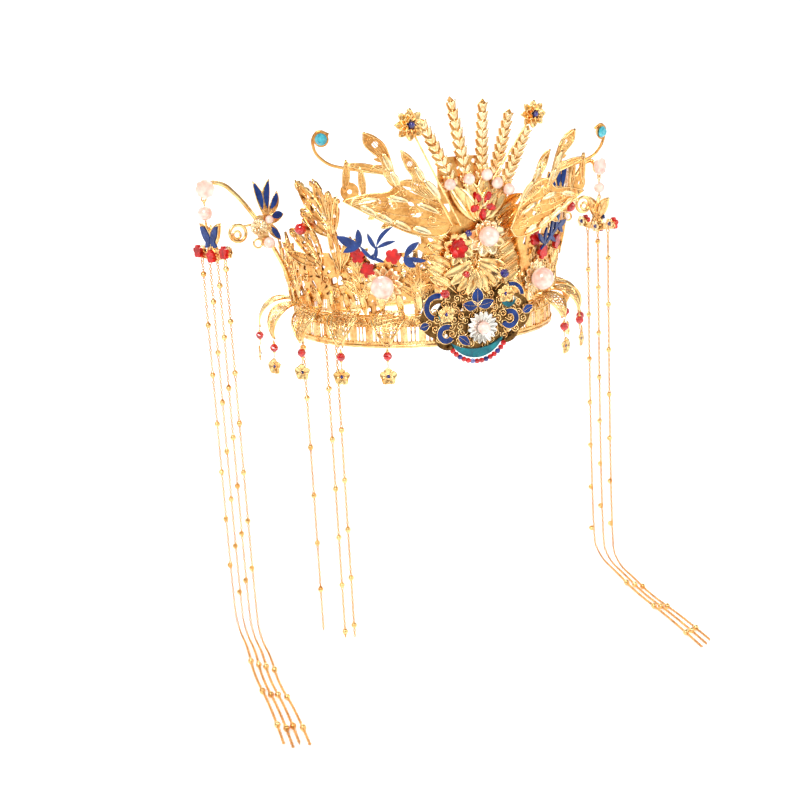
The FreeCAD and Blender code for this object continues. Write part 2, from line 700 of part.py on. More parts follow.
def red_cup_flower():
    """An open cup of red petals."""
    cup = Part.makeCone(2.4, RED_CUP.radius, 3.6, vec(RED_CUP.x, RED_CUP.y, 2.4))
    hollow = Part.makeCone(1.6, RED_CUP.radius - 0.7, 3.2, vec(RED_CUP.x, RED_CUP.y, 3.3))
    bore = Part.makeCylinder(PEG_RADIUS + BORE_GAP, 6, vec(RED_CUP.x, RED_CUP.y, 0))
    return placed(cup.cut(hollow).cut(bore), fan_place())


def flower_stem(row, radius, low, seat):
    """A wire stem with a two-layered flower on its end."""
    root = vec(row.root_x, row.root_y, low)
    tip = vec(row.tip_x, row.tip_y, low)
    foot = bar(root, vec(root.x, root.y, seat), STEM_WIRE)
    wire = bar(root, tip, STEM_WIRE)
    knob = Part.makeSphere(STEM_WIRE, root)
    lower = blossom(row.tip_x, row.tip_y, radius, 8, 0.52 * radius, 0.8, low)
    upper = blossom(row.tip_x, row.tip_y, 0.66 * radius, 8, 0.36 * radius, 0.9, low + 0.8, 22.5)
    cup = Part.makeCone(0.8, 0.32 * radius, 2.0, vec(row.tip_x, row.tip_y, low - 2.0))
    peg = bar(vec(row.tip_x, row.tip_y, low), vec(row.tip_x, row.tip_y, low + 3.0), PEG_RADIUS)
    return placed(joined([foot, wire, knob, lower, upper, cup, peg]), fan_place())


def flower_hearts():
    """The dark bead of each stem flower and the plum bead beside the large pearl."""
    left = Pearl(STEM_LEFT.tip_x, STEM_LEFT.tip_y, 1.5)
    right = Pearl(STEM_RIGHT.tip_x, STEM_RIGHT.tip_y, 1.3)
    return placed(loose([pearl(left, STEM_LOW + 1.9), pearl(right, STEM_LOW + 1.9),
                         pearl(PLUM_BEAD, 2.4)]), fan_place())


STEM_LOW = 6.2
PLATE_SEAT = 1.5
FAN_SEAT = 2.5


# Wings, drawn for the left side and mirrored for the right

WING_ANGLE = -20.0
WING_RADIUS = 72.6
WING_LOW = SHEET + SEAT_GAP
WingPose = namedtuple("WingPose", "lean lift trim pad")
WING_POSE_LEFT = WingPose(4.0, 0.0, 14.0, 0.3)
WING_POSE_RIGHT = WingPose(9.0, -2.8, 12.0, 2.0)
WING_SHAPES = (
    (((-10.0, 58.0), (-13.0, 65.5), (-14.5, 72.0), (-18.0, 80.5), (-26.5, 85.5)),
     ((-10.0, 58.0), (-17.5, 65.0), (-19.0, 72.5), (-26.0, 79.5), (-26.5, 85.5))),
    (((9.0, 50.0), (3.0, 58.0), (-0.5, 64.0), (-3.0, 70.5), (-9.5, 76.5)),
     ((9.0, 50.0), (-4.5, 57.5), (-4.6, 64.0), (-7.6, 69.0), (-9.5, 76.5))),
    (((-38.0, 54.5), (-27.0, 56.8), (-16.0, 57.6), (-9.0, 62.5), (4.0, 57.0), (13.5, 40.0)),
     ((-38.0, 54.5), (-29.0, 49.2), (-17.0, 42.5), (-4.5, 36.8), (8.0, 35.5), (13.5, 40.0))))
WING_BLADES = (
    Blade(-37.2, 58.0, -35.4, 73.5, 3.4, -0.6), Blade(-36.4, 71.4, -12.0, 64.6, 3.4, 0.9),
    Blade(-29.0, 70.0, -27.8, 55.0, 3.2, 0.0), Blade(-16.0, 68.0, -23.2, 70.0, 2.0, 0.0),
    Blade(-16.5, 71.5, -22.6, 73.2, 1.9, 0.0), Blade(-18.0, 74.0, -23.6, 76.6, 2.0, 0.0),
    Blade(-20.0, 48.0, -26.5, 45.2, 2.6, 0.0), Blade(-14.0, 44.0, -20.5, 40.6, 2.6, 0.0))
WING_HEAD = Disc(-34.5, 58.5, 4.4)
WING_OPENINGS = (
    Blade(-9.6, 59.8, 1.0, 54.0, 1.9, 0.3), Blade(-5.2, 62.0, -1.0, 59.4, 1.2, 0.0),
    Blade(-6.8, 46.6, -0.6, 47.2, 2.2, -1.2), Blade(-7.4, 52.2, -4.4, 50.4, 1.8, 0.0),
    Blade(-16.4, 53.6, -14.6, 50.0, 1.2, 0.0))
WING_EYES = (Disc(-34.5, 58.5, 1.1), Disc(-21.4, 79.6, 1.5), Disc(-5.6, 70.0, 1.3), Disc(-20.5, 53.0, 0.7))
ANTENNA = (
    (-14.0, 65.4), (-36.0, 69.4), (-44.0, 71.6), (-49.6, 77.0), (-50.6, 83.5), (-47.4, 87.6), (-42.6, 85.2))
CRYSTAL = Disc(-46.2, 83.4, 3.0)
BRACKET = (Blade(3.0, 14.0, -9.0, 49.0, 8.0, 0.0), Blade(-5.0, 14.0, 8.0, 45.0, 7.0, 0.0))
BRACKET_PAD = Disc(-1.0, 22.5, 2.8)
BRACKET_NOTCH = Disc(-7.4, 33.2, 4.6)


def wing_place(pose):
    """The plane of a wing and its bracket."""
    return site(WING_ANGLE, WING_RADIUS, WALL_BASE + pose.lift, pose.lean)


def curved_plate(edges, thickness, low):
    """Sheet metal between two smooth edges that share their ends."""
    splines = []
    for points in edges:
        curve = Part.BSplineCurve()
        curve.interpolate([vec(x, y, low) for x, y in points])
        splines.append(curve.toShape())
    return Part.Face(Part.Wire(splines)).extrude(vec(0, 0, thickness))


def wing(pose):
    """A pierced phoenix wing with its scrolled antenna and the crystal's cup."""
    shapes = [curved_plate(edges, SHEET, WING_LOW) for edges in WING_SHAPES]
    shapes.append(plate(WING_BLADES, [WING_HEAD], SHEET, WING_LOW))
    body = pierced(joined(shapes), WING_OPENINGS, WING_EYES)
    body = body.cut(Part.makeBox(20, 60, 6, vec(pose.trim, 20, 0)))
    middle = WING_LOW + SHEET / 2
    antenna = tube([vec(x, y, middle) for x, y in ANTENNA], 0.75)
    cup = Part.makeCone(2.2, CRYSTAL.radius + 0.6, 2.2, vec(CRYSTAL.x, CRYSTAL.y, middle - 0.6))
    seat = Part.makeCone(1.8, CRYSTAL.radius + 0.2, 2.2, vec(CRYSTAL.x, CRYSTAL.y, middle + 0.4))
    return placed(joined([body, antenna, cup.cut(seat)]), wing_place(pose))


def wing_crystal(pose):
    """A round brilliant in the antenna's cup."""
    low = WING_LOW + SHEET / 2 + 0.7
    size = 1.9 * CRYSTAL.radius
    return placed(cut_stone(CRYSTAL.x, CRYSTAL.y, size, size, 2.6, low, 0, 12), wing_place(pose))


# Side walls, drawn for the left side and mirrored for the right

FRONDS = (
    Frond(-24.0, 29.0, 0.8), Frond(-46.0, 36.0, 0.95), Frond(-84.0, 38.0, 0.95), Frond(-97.0, 34.0, 0.8))
OAK_ANGLE = -64.0
OAK_BLADES = (
    Blade(14.0, 18.0, 12.5, 47.0, 7.0, 0.0), Blade(13.0, 41.0, -6.0, 65.0, 9.5, 0.8),
    Blade(12.5, 43.0, 6.5, 65.5, 7.6, 0.0), Blade(13.5, 43.0, 15.5, 59.5, 5.6, 0.0),
    Blade(14.0, 38.0, 21.0, 57.0, 4.4, 0.0), Blade(12.0, 37.0, -6.5, 50.0, 7.4, 0.6),
    Blade(2.0, 22.0, -6.0, 45.5, 8.4, 0.0), Blade(0.0, 24.0, -17.0, 40.0, 6.2, 0.0),
    Blade(0.0, 22.0, -22.0, 28.0, 6.4, 0.0), Blade(16.0, 22.0, 25.0, 37.0, 5.6, 0.0))
OAK_LOBES = (
    Disc(-4.6, 62.0, 2.8), Disc(5.6, 62.8, 2.4), Disc(14.6, 57.0, 2.1), Disc(19.6, 54.6, 2.2),
    Disc(-4.8, 48.4, 2.6), Disc(-15.4, 38.2, 2.6), Disc(-19.8, 27.8, 2.2), Disc(23.6, 35.6, 2.0))
OAK_OPENINGS = (
    Blade(11.0, 44.0, 3.0, 53.0, 1.8, 0.0), Blade(13.2, 26.0, 12.6, 36.0, 1.8, 0.0),
    Blade(0.0, 27.0, -3.4, 37.0, 2.0, 0.0))
OAK_EYES = (Disc(0.6, 56.4, 1.2),)
OAK_BEAD = Pearl(-5.0, 41.4, 3.0)
COLLAR_PETALS = 12
COLLAR_RADIUS = 8.8
COLLAR_LOW = 2 * SHEET + 0.5
BIG_PEARL_RADIUS = 5.6
SCALLOP_ANGLES = (-22.0, -38.5, -54.0, -76.0, -94.0)
OPENING_ANGLES = (-22.0, -44.0, -55.0, -79.0, -92.0)
FOOT_ANGLES = (-24.0, -42.5, -60.0, -77.2, -95.5)
SPIKE_COUNT = 11
SPIKE_PITCH = 7.4


def frond(row):
    """An acanthus leaf of seven lobes that stands on the wall."""
    blades = [Blade(0, 0, 0, row.height, 7.0 * row.size, 0.0)]
    for index in range(3):
        foot = row.height * (0.18 + 0.2 * index)
        reach = (10.5 - 1.8 * index) * row.size
        rise = (9.0 + index) * row.size
        width = (4.6 - 0.4 * index) * row.size
        blades.append(Blade(0, foot, reach, foot + rise, width, 0.6))
        blades.append(Blade(0, foot, -reach, foot + rise, width, -0.6))
    return placed(plate(blades, (), SHEET, PLATE_LOW), wall_site(row.angle))


def cone_wall():
    """The plain leaning wall with scalloped top and leaf-shaped openings."""
    slope = math.tan(math.radians(WALL_LEAN))
    low_radius = WALL_RADIUS + (WALL_LOW - WALL_BASE) * slope
    high_radius = WALL_RADIUS + (WALL_HIGH - WALL_BASE) * slope
    profile = Part.Face(Part.makePolygon([
        vec(low_radius, 0, WALL_LOW), vec(low_radius + SHEET, 0, WALL_LOW),
        vec(high_radius + SHEET, 0, WALL_HIGH), vec(high_radius, 0, WALL_HIGH),
        vec(low_radius, 0, WALL_LOW)]))
    wall = profile.revolve(vec(0, 0, 0), vec(0, 0, 1), WALL_LAST - WALL_FIRST)
    wall.rotate(vec(0, 0, 0), vec(0, 0, 1), -WALL_LAST - 90.0)
    cutters = [placed(Part.makeCylinder(6.0, 12, vec(0, 29.5, -6)), wall_site(angle))
               for angle in SCALLOP_ANGLES]
    cutters += [placed(blade(Blade(0, 6.5, 0, 17.5, 4.0, 0.0), 12, -6), wall_site(angle))
                for angle in OPENING_ANGLES]
    return wall.cut(Part.makeCompound(cutters))


def wall_feet():
    """Short strips from the wall down to the band's upper rail."""
    height = WALL_LOW + 2.0 - BAND_HEIGHT - SEAT_GAP
    corner = vec(-FOOT_WIDTH / 2, BAND_HEIGHT + SEAT_GAP, RING_RADIUS - 1.4)
    foot = Part.makeBox(FOOT_WIDTH, height, 3.6, corner)
    return [placed(foot, site(angle, 0, 0)) for angle in FOOT_ANGLES]


def chain_hook(chain, end):
    """An eyelet for a side chain, on a stay to a point given as radius and height."""
    height = chain.top + HOOK_RISE
    hook = eyelet(vec(0, height, chain.radius), vec(1, 0, 0))
    stay = bar(vec(0, height + 1.2, chain.radius), vec(0, end[1], end[0]), 0.5)
    return placed(joined([hook, stay]), site(chain.angle, 0, 0))


def pearl_collar(spot):
    """A ring of pointed petals with the big pearl's peg."""
    angle, height = spot
    collar = blossom(0, height, COLLAR_RADIUS, COLLAR_PETALS, 4.2, 1.1, SHEET - 0.2)
    peg = pearl_peg(Pearl(0, height, BIG_PEARL_RADIUS), COLLAR_LOW)
    back = disc(Disc(0, height, 5.0), SHEET + 0.6, -0.3)
    return placed(joined([collar, peg, back]), wall_site(angle))


def side_wall(pearl_spot, pose, hooks=()):
    """The leaning filigree wall over one side of the band, with its fronds and feet."""
    fronds = [frond(row) for row in FRONDS]
    oak = pierced(plate(OAK_BLADES, OAK_LOBES, SHEET, PLATE_LOW), OAK_OPENINGS, OAK_EYES)
    back = Part.makeCylinder(2, 0.5, vec(OAK_BEAD.x, OAK_BEAD.y, 0))
    peg = pearl_peg(OAK_BEAD, ON_PLATE).cut(back)
    oak = placed(joined([oak, peg]), wall_site(OAK_ANGLE))
    spikes = []
    for index in range(SPIKE_COUNT):
        spike = Blade(0, 9.0, 1.5, 0.6 - 1.2 * (index % 2), 3.2, 0.5)
        spikes.append(placed(blade(spike, SHEET, PLATE_LOW), wall_site(-24.0 - SPIKE_PITCH * index)))
    pad = disc(BRACKET_PAD, SHEET + pose.pad, -pose.pad)
    bracket = joined([pierced(plate(BRACKET), discs=[BRACKET_NOTCH]), pad])
    bracket = placed(bracket, wing_place(pose))
    wall = joined([cone_wall()] + wall_feet())
    wall = joined([wall] + fronds)
    wall = joined([wall, oak])
    wall = joined([wall] + spikes)
    wall = joined([wall, bracket])
    return joined([wall, pearl_collar(pearl_spot)] + list(hooks))


def big_pearl(spot):
    """The large side pearl on its collar."""
    angle, height = spot
    return placed(pearl(Pearl(0, height, BIG_PEARL_RADIUS), COLLAR_LOW), wall_site(angle))


def wall_beads():
    """Small red beads: one on each oak leaf and one low on the centre plate."""
    on_oak = placed(pearl(OAK_BEAD, ON_PLATE), wall_site(OAK_ANGLE))
    on_plate = placed(pearl(FRONT_STUD, 1.5), fan_place())
    return loose([on_oak, mirrored(on_oak), on_plate])


# Enamel sprays with their red flowers

PEARL_SPOT_LEFT = (-35.5, 13.5)
PEARL_SPOT_RIGHT = (-27.5, 10.4)
SPRAY_LEFT_ANGLE = -34.0
SPRAY_RIGHT_ANGLE = -36.0
SPRAY_LOW = 4.0
SPRAY_LEFT = (
    Blade(-5.5, 26.0, -12.2, 33.4, 1.7, 0.5), Blade(-12.0, 33.0, -23.1, 38.6, 4.4, 0.6),
    Blade(-12.2, 32.6, -12.4, 41.6, 3.2, 0.0), Blade(-11.8, 33.4, -20.6, 30.4, 3.4, -0.4),
    Blade(-5.0, 26.4, -4.0, 33.0, 1.9, 0.0), Blade(-4.2, 31.5, -7.9, 39.4, 2.0, 0.4),
    Blade(-4.0, 32.5, 5.0, 42.2, 2.0, 1.6), Blade(-4.1, 32.0, 5.6, 35.2, 2.0, 0.5),
    Blade(-6.4, 27.4, -1.0, 25.0, 1.6, 0.0))
SPRAY_LEFT_SMALL = (
    Blade(9.2, 27.8, 14.2, 22.4, 3.6, -0.8), Blade(9.4, 27.2, 17.0, 34.4, 3.2, 0.8),
    Blade(9.6, 27.2, 19.8, 25.2, 2.2, -0.4))
SPRAY_RIGHT = (
    Blade(12.6, 24.6, -8.0, 37.4, 1.9, 0.3), Blade(-4.6, 35.6, -13.0, 37.2, 3.0, 0.6),
    Blade(-4.4, 35.4, -10.6, 31.0, 2.6, 0.0), Blade(-1.0, 33.6, -4.4, 42.6, 2.6, 0.0),
    Blade(3.6, 30.6, 1.6, 40.4, 2.6, 0.0), Blade(3.8, 30.4, -3.4, 27.0, 2.2, 0.0),
    Blade(9.4, 27.0, 8.6, 35.4, 2.4, 0.0), Blade(9.4, 27.0, 17.0, 33.2, 2.4, 0.0))
RED_FLOWER_RADIUS = 3.9
RED_FLOWER_LOW = 2.2
FLOWER_ROOM = 0.2
STUB_RADIUS = 0.9
RED_SPOTS_LEFT = ((-44.8, 28.0), (-41.4, 20.8), (-31.6, 27.4))
RED_SPOTS_RIGHT = ((-25.5, 30.4), (-43.0, 26.0), (-31.5, 22.6))


def enamel_spray(rows, angle, post):
    """Enamelled twigs and leaves on a short post from the wall."""
    twigs = plate(rows, (), SHEET, SPRAY_LOW)
    x, y, foot = post
    stand = Part.makeCylinder(0.8, SPRAY_LOW - foot + 0.5, vec(x, y, foot))
    return placed(joined([twigs, stand]), wall_site(angle))


def flower_room(spots):
    """Room for the red flowers and their stubs, cut from the wall round them."""
    rooms = []
    for angle, height in spots:
        head = Disc(0, height, RED_FLOWER_RADIUS + FLOWER_ROOM)
        stub = Disc(0, height, STUB_RADIUS + FLOWER_ROOM)
        room = joined([disc(head, 2 * SHEET, RED_FLOWER_LOW - FLOWER_ROOM), disc(stub, SHEET, ON_PLATE)])
        rooms.append(placed(room, wall_site(angle)))
    return Part.makeCompound(rooms)


def red_flowers(spots):
    """Flat red flowers of round petals, seated on the wall."""
    flowers = []
    for index, (angle, height) in enumerate(spots):
        flower = round_flower(0, height, RED_FLOWER_RADIUS, 1.6, RED_FLOWER_LOW, turn=90 + 24 * index)
        stub = disc(Disc(0, height, STUB_RADIUS), RED_FLOWER_LOW + 0.4 - ON_PLATE, ON_PLATE)
        flower = joined([flower, stub])
        flowers.append(placed(flower, wall_site(angle)))
    return loose(flowers)


# Side arms with crest and tassel head, drawn for the left side

ARM_Y = -1.4
ARM_RADIUS = 1.2
ARM_POINTS = (
    (-75.2, -1.4, 31.0), (-77.0, -1.4, 38.0), (-82.5, -1.4, 50.0), (-90.0, -1.4, 64.5),
    (-97.2, 0.6, 75.2), (-104.0, 3.4, 82.6), (-110.6, 5.4, 84.4), (-113.3, 4.6, 81.0))
CREST_PLATES = (
    Blade(-85.5, 64.0, -90.8, 83.5, 4.4, -1.0), Blade(-85.0, 65.0, -82.4, 84.0, 4.4, 1.2),
    Blade(-84.0, 65.0, -78.6, 77.8, 4.2, -1.0), Blade(-86.0, 62.0, -76.0, 66.0, 5.6, 0.6),
    Blade(-85.0, 63.0, -78.2, 53.0, 4.4, -0.4), Blade(-90.0, 66.0, -83.0, 58.0, 7.0, 0.0))
CREST_DISCS = (
    Disc(-84.2, 63.9, 3.0), Disc(-89.6, 60.2, 4.2), Disc(-85.2, 52.2, 3.0), Disc(-87.4, 56.4, 3.0))
CREST_ENAMEL = (
    Blade(-86.9, 69.0, -90.6, 82.6, 2.9, -0.8), Blade(-84.2, 69.4, -82.5, 83.2, 2.7, 0.9),
    Blade(-82.6, 69.0, -79.0, 77.2, 2.8, -0.6), Blade(-81.8, 64.6, -76.6, 66.4, 3.8, 0.4),
    Blade(-82.6, 60.0, -78.6, 53.6, 2.8, -0.2))
CREST_LOW = 0.4
CREST_PEARLS = (Pearl(-84.2, 63.9, 2.1), Pearl(-85.2, 52.2, 2.9))
CREST_ROSETTE = Disc(-89.7, 60.2, 4.4)
CREST_ROSETTE_PEG = Pearl(-89.7, 60.2, 0.6)
CURL = Disc(-100.4, 58.0, 4.2)
HOOP = Disc(-90.4, 52.0, 2.2)


def crest_place():
    """The crest's upright plane across the arm."""
    return site(0, -ARM_Y, 0)


def side_arm(lift):
    """The curved arm that carries a tassel, with the crest's gold ground on it."""
    last = len(ARM_POINTS) - 1
    route = [vec(x, y, z + lift * index / last) for index, (x, y, z) in enumerate(ARM_POINTS)]
    arm = tube(route, ARM_RADIUS)
    ground = plate(CREST_PLATES, CREST_DISCS, SHEET, CREST_LOW)
    middle = CREST_LOW + SHEET / 2
    curl = Part.makeTorus(CURL.radius, 0.9, vec(CURL.x, CURL.y, middle))
    eye = Part.makeTorus(1.9, 0.7, vec(CURL.x - 0.6, CURL.y - 0.8, middle))
    tail = bar(vec(CURL.x + 2.6, CURL.y + 3.2, middle), vec(-92.0, 62.0, middle), 0.7)
    bridge = bar(vec(CURL.x - 3.4, CURL.y - 2.4, middle), vec(CURL.x - 1.8, CURL.y - 1.6, middle), 0.6)
    hoop = Part.makeTorus(HOOP.radius, 0.6, vec(HOOP.x, HOOP.y, middle))
    low = CREST_LOW + SHEET + SEAT_GAP
    pegs = [pearl_peg(row, low) for row in CREST_PEARLS + (CREST_ROSETTE_PEG,)]
    crest = placed(joined([ground, curl, eye, tail, bridge, hoop] + pegs), crest_place())
    cup = disc(Disc(0, TOP_ROSETTE_HEIGHT, 4.0), SHEET, -SHEET - SEAT_GAP)
    ring = eyelet(vec(-1.6, TOP_ROSETTE_HEIGHT - 5.1, -0.8), vec(0, 0, 1), 1.2, 0.4)
    end = placed(joined([cup, ring]), rosette_place(lift))
    return joined([arm, crest, end])


def crest_enamel():
    """Blue enamel on the crest: three feathers and two leaves."""
    pieces = [blade(row, 0.9, CREST_LOW + SHEET) for row in CREST_ENAMEL]
    return placed(loose(pieces), crest_place())


def rosette_place(lift):
    """The plane of the rosette on the left arm's end."""
    return facing(ROSETTE_FACING, vec(ROSETTE_X, TASSEL_Y, lift))


def side_stones(bead_radius, lift):
    """The crest's bead, pearl and rosette, and the tassel's rosette and bead."""
    low = CREST_LOW + SHEET + SEAT_GAP
    pieces = [placed(pearl(row, low), crest_place()) for row in CREST_PEARLS]
    rosette = round_flower(CREST_ROSETTE.x, CREST_ROSETTE.y, CREST_ROSETTE.radius, 2.0, low, 8)
    rosette = pierced(rosette, discs=[Disc(CREST_ROSETTE.x, CREST_ROSETTE.y, PEG_RADIUS + BORE_GAP)])
    pieces.append(placed(rosette, crest_place()))
    top = round_flower(0, TOP_ROSETTE_HEIGHT, TOP_ROSETTE_RADIUS, 2.2, 0.0, 8)
    pieces.append(placed(top, rosette_place(lift)))
    bead = drilled_bead(vec(PIN_X, PIN_Y, TASSEL_BEAD_HEIGHT + lift), vec(0, 0, 1), bead_radius, PIN_BORE)
    pieces.append(bead)
    return loose(pieces)


ROSETTE_FACING = -25.0
ROSETTE_X = -113.9
TOP_ROSETTE_HEIGHT = 81.0
TOP_ROSETTE_RADIUS = 4.8
PIN_X = -115.0
PIN_Y = 4.4
PIN_RADIUS = 0.4
PIN_BORE = PIN_RADIUS + BORE_GAP
PIN_TOP = 73.15
PIN_FOOT = 64.4
TASSEL_BEAD_HEIGHT = 68.8
TASSEL_BEAD_LEFT = 3.7
TASSEL_BEAD_RIGHT = 3.0
BUTTERFLY = (
    Blade(-0.8, 52.0, -8.6, 62.0, 5.4, -0.8), Blade(0.8, 52.0, 7.4, 62.4, 4.8, 0.8),
    Blade(-1.0, 55.0, -5.2, 51.6, 3.0, 0.4), Blade(1.0, 55.0, 5.6, 51.8, 2.8, -0.4))
BUTTERFLY_GROUND = (
    Blade(0.0, 51.0, -9.4, 63.4, 7.0, -0.8), Blade(0.0, 51.0, 8.2, 63.8, 6.4, 0.8),
    Blade(0.0, 54.5, -4.6, 45.4, 4.8, 0.6), Blade(0.0, 54.5, 5.2, 46.0, 4.4, -0.6),
    Blade(0.0, 46.0, 0.0, 63.0, 3.4, 0.0), Blade(-14.6, 47.2, 14.6, 47.2, 4.2, 0.0))
TASSEL_FLOWERS = ((-12.0, 49.0), (0.2, 47.0), (12.4, 49.4))
TASSEL_FLOWER_RADIUS = 3.5


def tassel_head(tassel):
    """Link, bead pin, butterfly ground and spreader, as one piece."""
    flowers = [Disc(x, y - 0.6, 2.6) for x, y in TASSEL_FLOWERS]
    ground = plate(BUTTERFLY_GROUND, flowers, SHEET, -SHEET / 2)
    eyes = []
    for strand in tassel.strands:
        x = strand.offset * STRAND_SPREAD
        eyes.append(eyelet(vec(x, STRAND_TOP + SEAT_GAP + 1.45, 0), vec(0, 0, 1), 1.1, 0.35))
        eyes.append(bar(vec(x, STRAND_TOP + SEAT_GAP + 2.4, 0), vec(x * 0.95, 47.4, 0), 0.5))
    head = placed(joined([ground] + eyes), head_place(tassel))
    x = -tassel.side * PIN_X
    link = eyelet(vec(x, PIN_Y, PIN_TOP + 1.25 + tassel.lift), vec(1, 0, 0), 1.3, 0.35)
    pin = bar(vec(x, PIN_Y, PIN_TOP + tassel.lift), vec(x, PIN_Y, PIN_FOOT + tassel.lift), PIN_RADIUS)
    ring = eyelet(vec(x, PIN_Y, PIN_FOOT - 1.0 + tassel.lift), vec(1, 0, 0), 1.2, 0.4)
    ring_foot = vec(x, PIN_Y, PIN_FOOT - 2.0 + tassel.lift)
    stay = bar(ring_foot, head_place(tassel).multVec(vec(0, 57.0, 0)), 0.6)
    return joined([head, link, pin, ring, stay])


def butterfly(tassel):
    """Blue enamel wings on the tassel head."""
    halves = [plate(BUTTERFLY[::2], (), 0.8, SHEET / 2), plate(BUTTERFLY[1::2], (), 0.8, SHEET / 2)]
    return placed(loose(halves), head_place(tassel))


def tassel_flowers(tassel):
    """Three red flowers along the spreader."""
    flowers = [round_flower(x, y, TASSEL_FLOWER_RADIUS, 1.8, SHEET / 2) for x, y in TASSEL_FLOWERS]
    return placed(loose(flowers), head_place(tassel))


# Front drops over the plaque

FRONT_RADIUS = 77.0


def front_top(row):
    """A front drop's hanging point."""
    return site(0, FRONT_RADIUS, 0).multVec(vec(row.x, row.y, 0))


def front_pegs():
    """Ball-ended pegs on the centre plate, which the front drops hang on."""
    pegs = []
    for row in FRONT_DROPS:
        loop = front_top(row) + vec(0, 0, -1.25)
        pegs.append(bar(vec(loop.x, 2.0 - RING_RADIUS, loop.z), loop + vec(0, -0.9, 0), 0.3))
        pegs.append(Part.makeSphere(0.6, loop + vec(0, -1.2, 0)))
    return pegs


def write(name, shape):
    """Check a node's solids and write its file."""
    valid = all(solid.isValid() for solid in shape.Solids)
    print(name, "solids", len(shape.Solids), "volume", round(shape.Volume, 1), "valid", valid)
    shape.exportStep("parts/" + name + ".step")


def main():
    """Build every node."""
    hook = chain_hook(SIDE_CHAINS[1], (RING_RADIUS - 0.4, BAND_HEIGHT - RAIL_RADIUS))
    write("base_band", joined([base_band(), hook]))
    for side, leaves in (("left", LEAVES_LEFT), ("right", LEAVES_RIGHT)):
        tops = [leaf_drop_top(leaf) for leaf in leaves]
        write("mesh_leaves_" + side, loose([mesh_leaf(leaf) for leaf in leaves]))
        write("leaf_drops_" + side, loose([drop_wire(top, leaf.turn) for top, leaf in zip(tops, leaves)]))
        write("drop_beads_" + side, loose([drop_bead(top) for top in tops]))
    for index, chain in enumerate(SIDE_CHAINS):
        write("side_chain_%d" % (index + 1), side_chain(chain))
    for side, tassel in (("left", TASSEL_LEFT), ("right", TASSEL_RIGHT)):
        for index, strand in enumerate(tassel.strands):
            write("tassel_strand_%s_%d" % (side, index + 1), tassel_strand(tassel, strand))
        write("tassel_head_" + side, tassel_head(tassel))
        write("butterfly_" + side, butterfly(tassel))
        write("tassel_flowers_" + side, tassel_flowers(tassel))
    write("plaque_backing", plaque_backing())
    write("plaque_enamel_blue", plaque_enamel_blue())
    write("plaque_enamel_teal", plaque_enamel_teal())
    write("plaque_daisy", plaque_daisy())
    write("daisy_pearl", daisy_pearl())
    write("fringe_beads", fringe_beads())
    tops = [front_top(row) for row in FRONT_DROPS]
    write("front_drops", loose([drop_wire(top) for top in tops]))
    write("front_drop_beads", loose([drop_bead(top) for top in tops]))
    write("centre_plate", centre_plate())
    write("feather_fan", feather_fan())
    write("fan_pearls", fan_pearls())
    write("crystal_flower", crystal_flower())
    write("centre_pearl", centre_pearl())
    write("red_cup_flower", red_cup_flower())
    write("stem_flower_left", flower_stem(STEM_LEFT, 7.6, STEM_LOW, PLATE_SEAT))
    write("stem_flower_right", flower_stem(STEM_RIGHT, 6.6, STEM_LOW, FAN_SEAT))
    write("flower_hearts", flower_hearts())
    write("wing_left", wing(WING_POSE_LEFT))
    write("wing_right", mirrored(wing(WING_POSE_RIGHT)))
    write("wing_crystal_left", wing_crystal(WING_POSE_LEFT))
    write("wing_crystal_right", mirrored(wing_crystal(WING_POSE_RIGHT)))
    hooks = [chain_hook(chain, (RING_RADIUS + 1.9, WALL_LOW + 1.2)) for chain in SIDE_CHAINS[::2]]
    wall = side_wall(PEARL_SPOT_LEFT, WING_POSE_LEFT, hooks)
    write("side_wall_left", wall.cut(flower_room(RED_SPOTS_LEFT)))
    write("side_wall_right", mirrored(side_wall(PEARL_SPOT_RIGHT, WING_POSE_RIGHT)))
    write("big_pearl_left", big_pearl(PEARL_SPOT_LEFT))
    write("big_pearl_right", mirrored(big_pearl(PEARL_SPOT_RIGHT)))
    write("wall_beads", wall_beads())
    sprays = [enamel_spray(SPRAY_LEFT, SPRAY_LEFT_ANGLE, (-6.5, 28.0, ON_PLATE)),
              enamel_spray(SPRAY_LEFT_SMALL, SPRAY_LEFT_ANGLE, (9.4, 26.8, 0.95))]
    write("enamel_spray_left", loose(sprays))
    spray = enamel_spray(SPRAY_RIGHT, SPRAY_RIGHT_ANGLE, (3.0, 31.0, ON_PLATE))
    write("enamel_spray_right", mirrored(spray))
    write("spray_flowers_left", red_flowers(RED_SPOTS_LEFT))
    write("spray_flowers_right", mirrored(red_flowers(RED_SPOTS_RIGHT)))
    write("side_arm_left", side_arm(TASSEL_LEFT.lift))
    write("side_arm_right", mirrored(side_arm(TASSEL_RIGHT.lift)))
    write("crest_enamel_left", crest_enamel())
    write("crest_enamel_right", mirrored(crest_enamel()))
    write("side_stones_left", side_stones(TASSEL_BEAD_LEFT, TASSEL_LEFT.lift))
    write("side_stones_right", mirrored(side_stones(TASSEL_BEAD_RIGHT, TASSEL_RIGHT.lift)))


main()
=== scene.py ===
"""Looks of the phoenix crown: gold filigree, enamel, pearls, beads and chains.

All sizes are in millimetres in the crown's own frame: the origin is the centre
of the band's lower rim, the front faces -Y and +Z is up. Meshes are scaled to
metres when they are made.
"""

import logging
import math
from collections import namedtuple
from dataclasses import dataclass, field
from enum import Enum

import bmesh
import bpy
from mathutils import Matrix, Vector


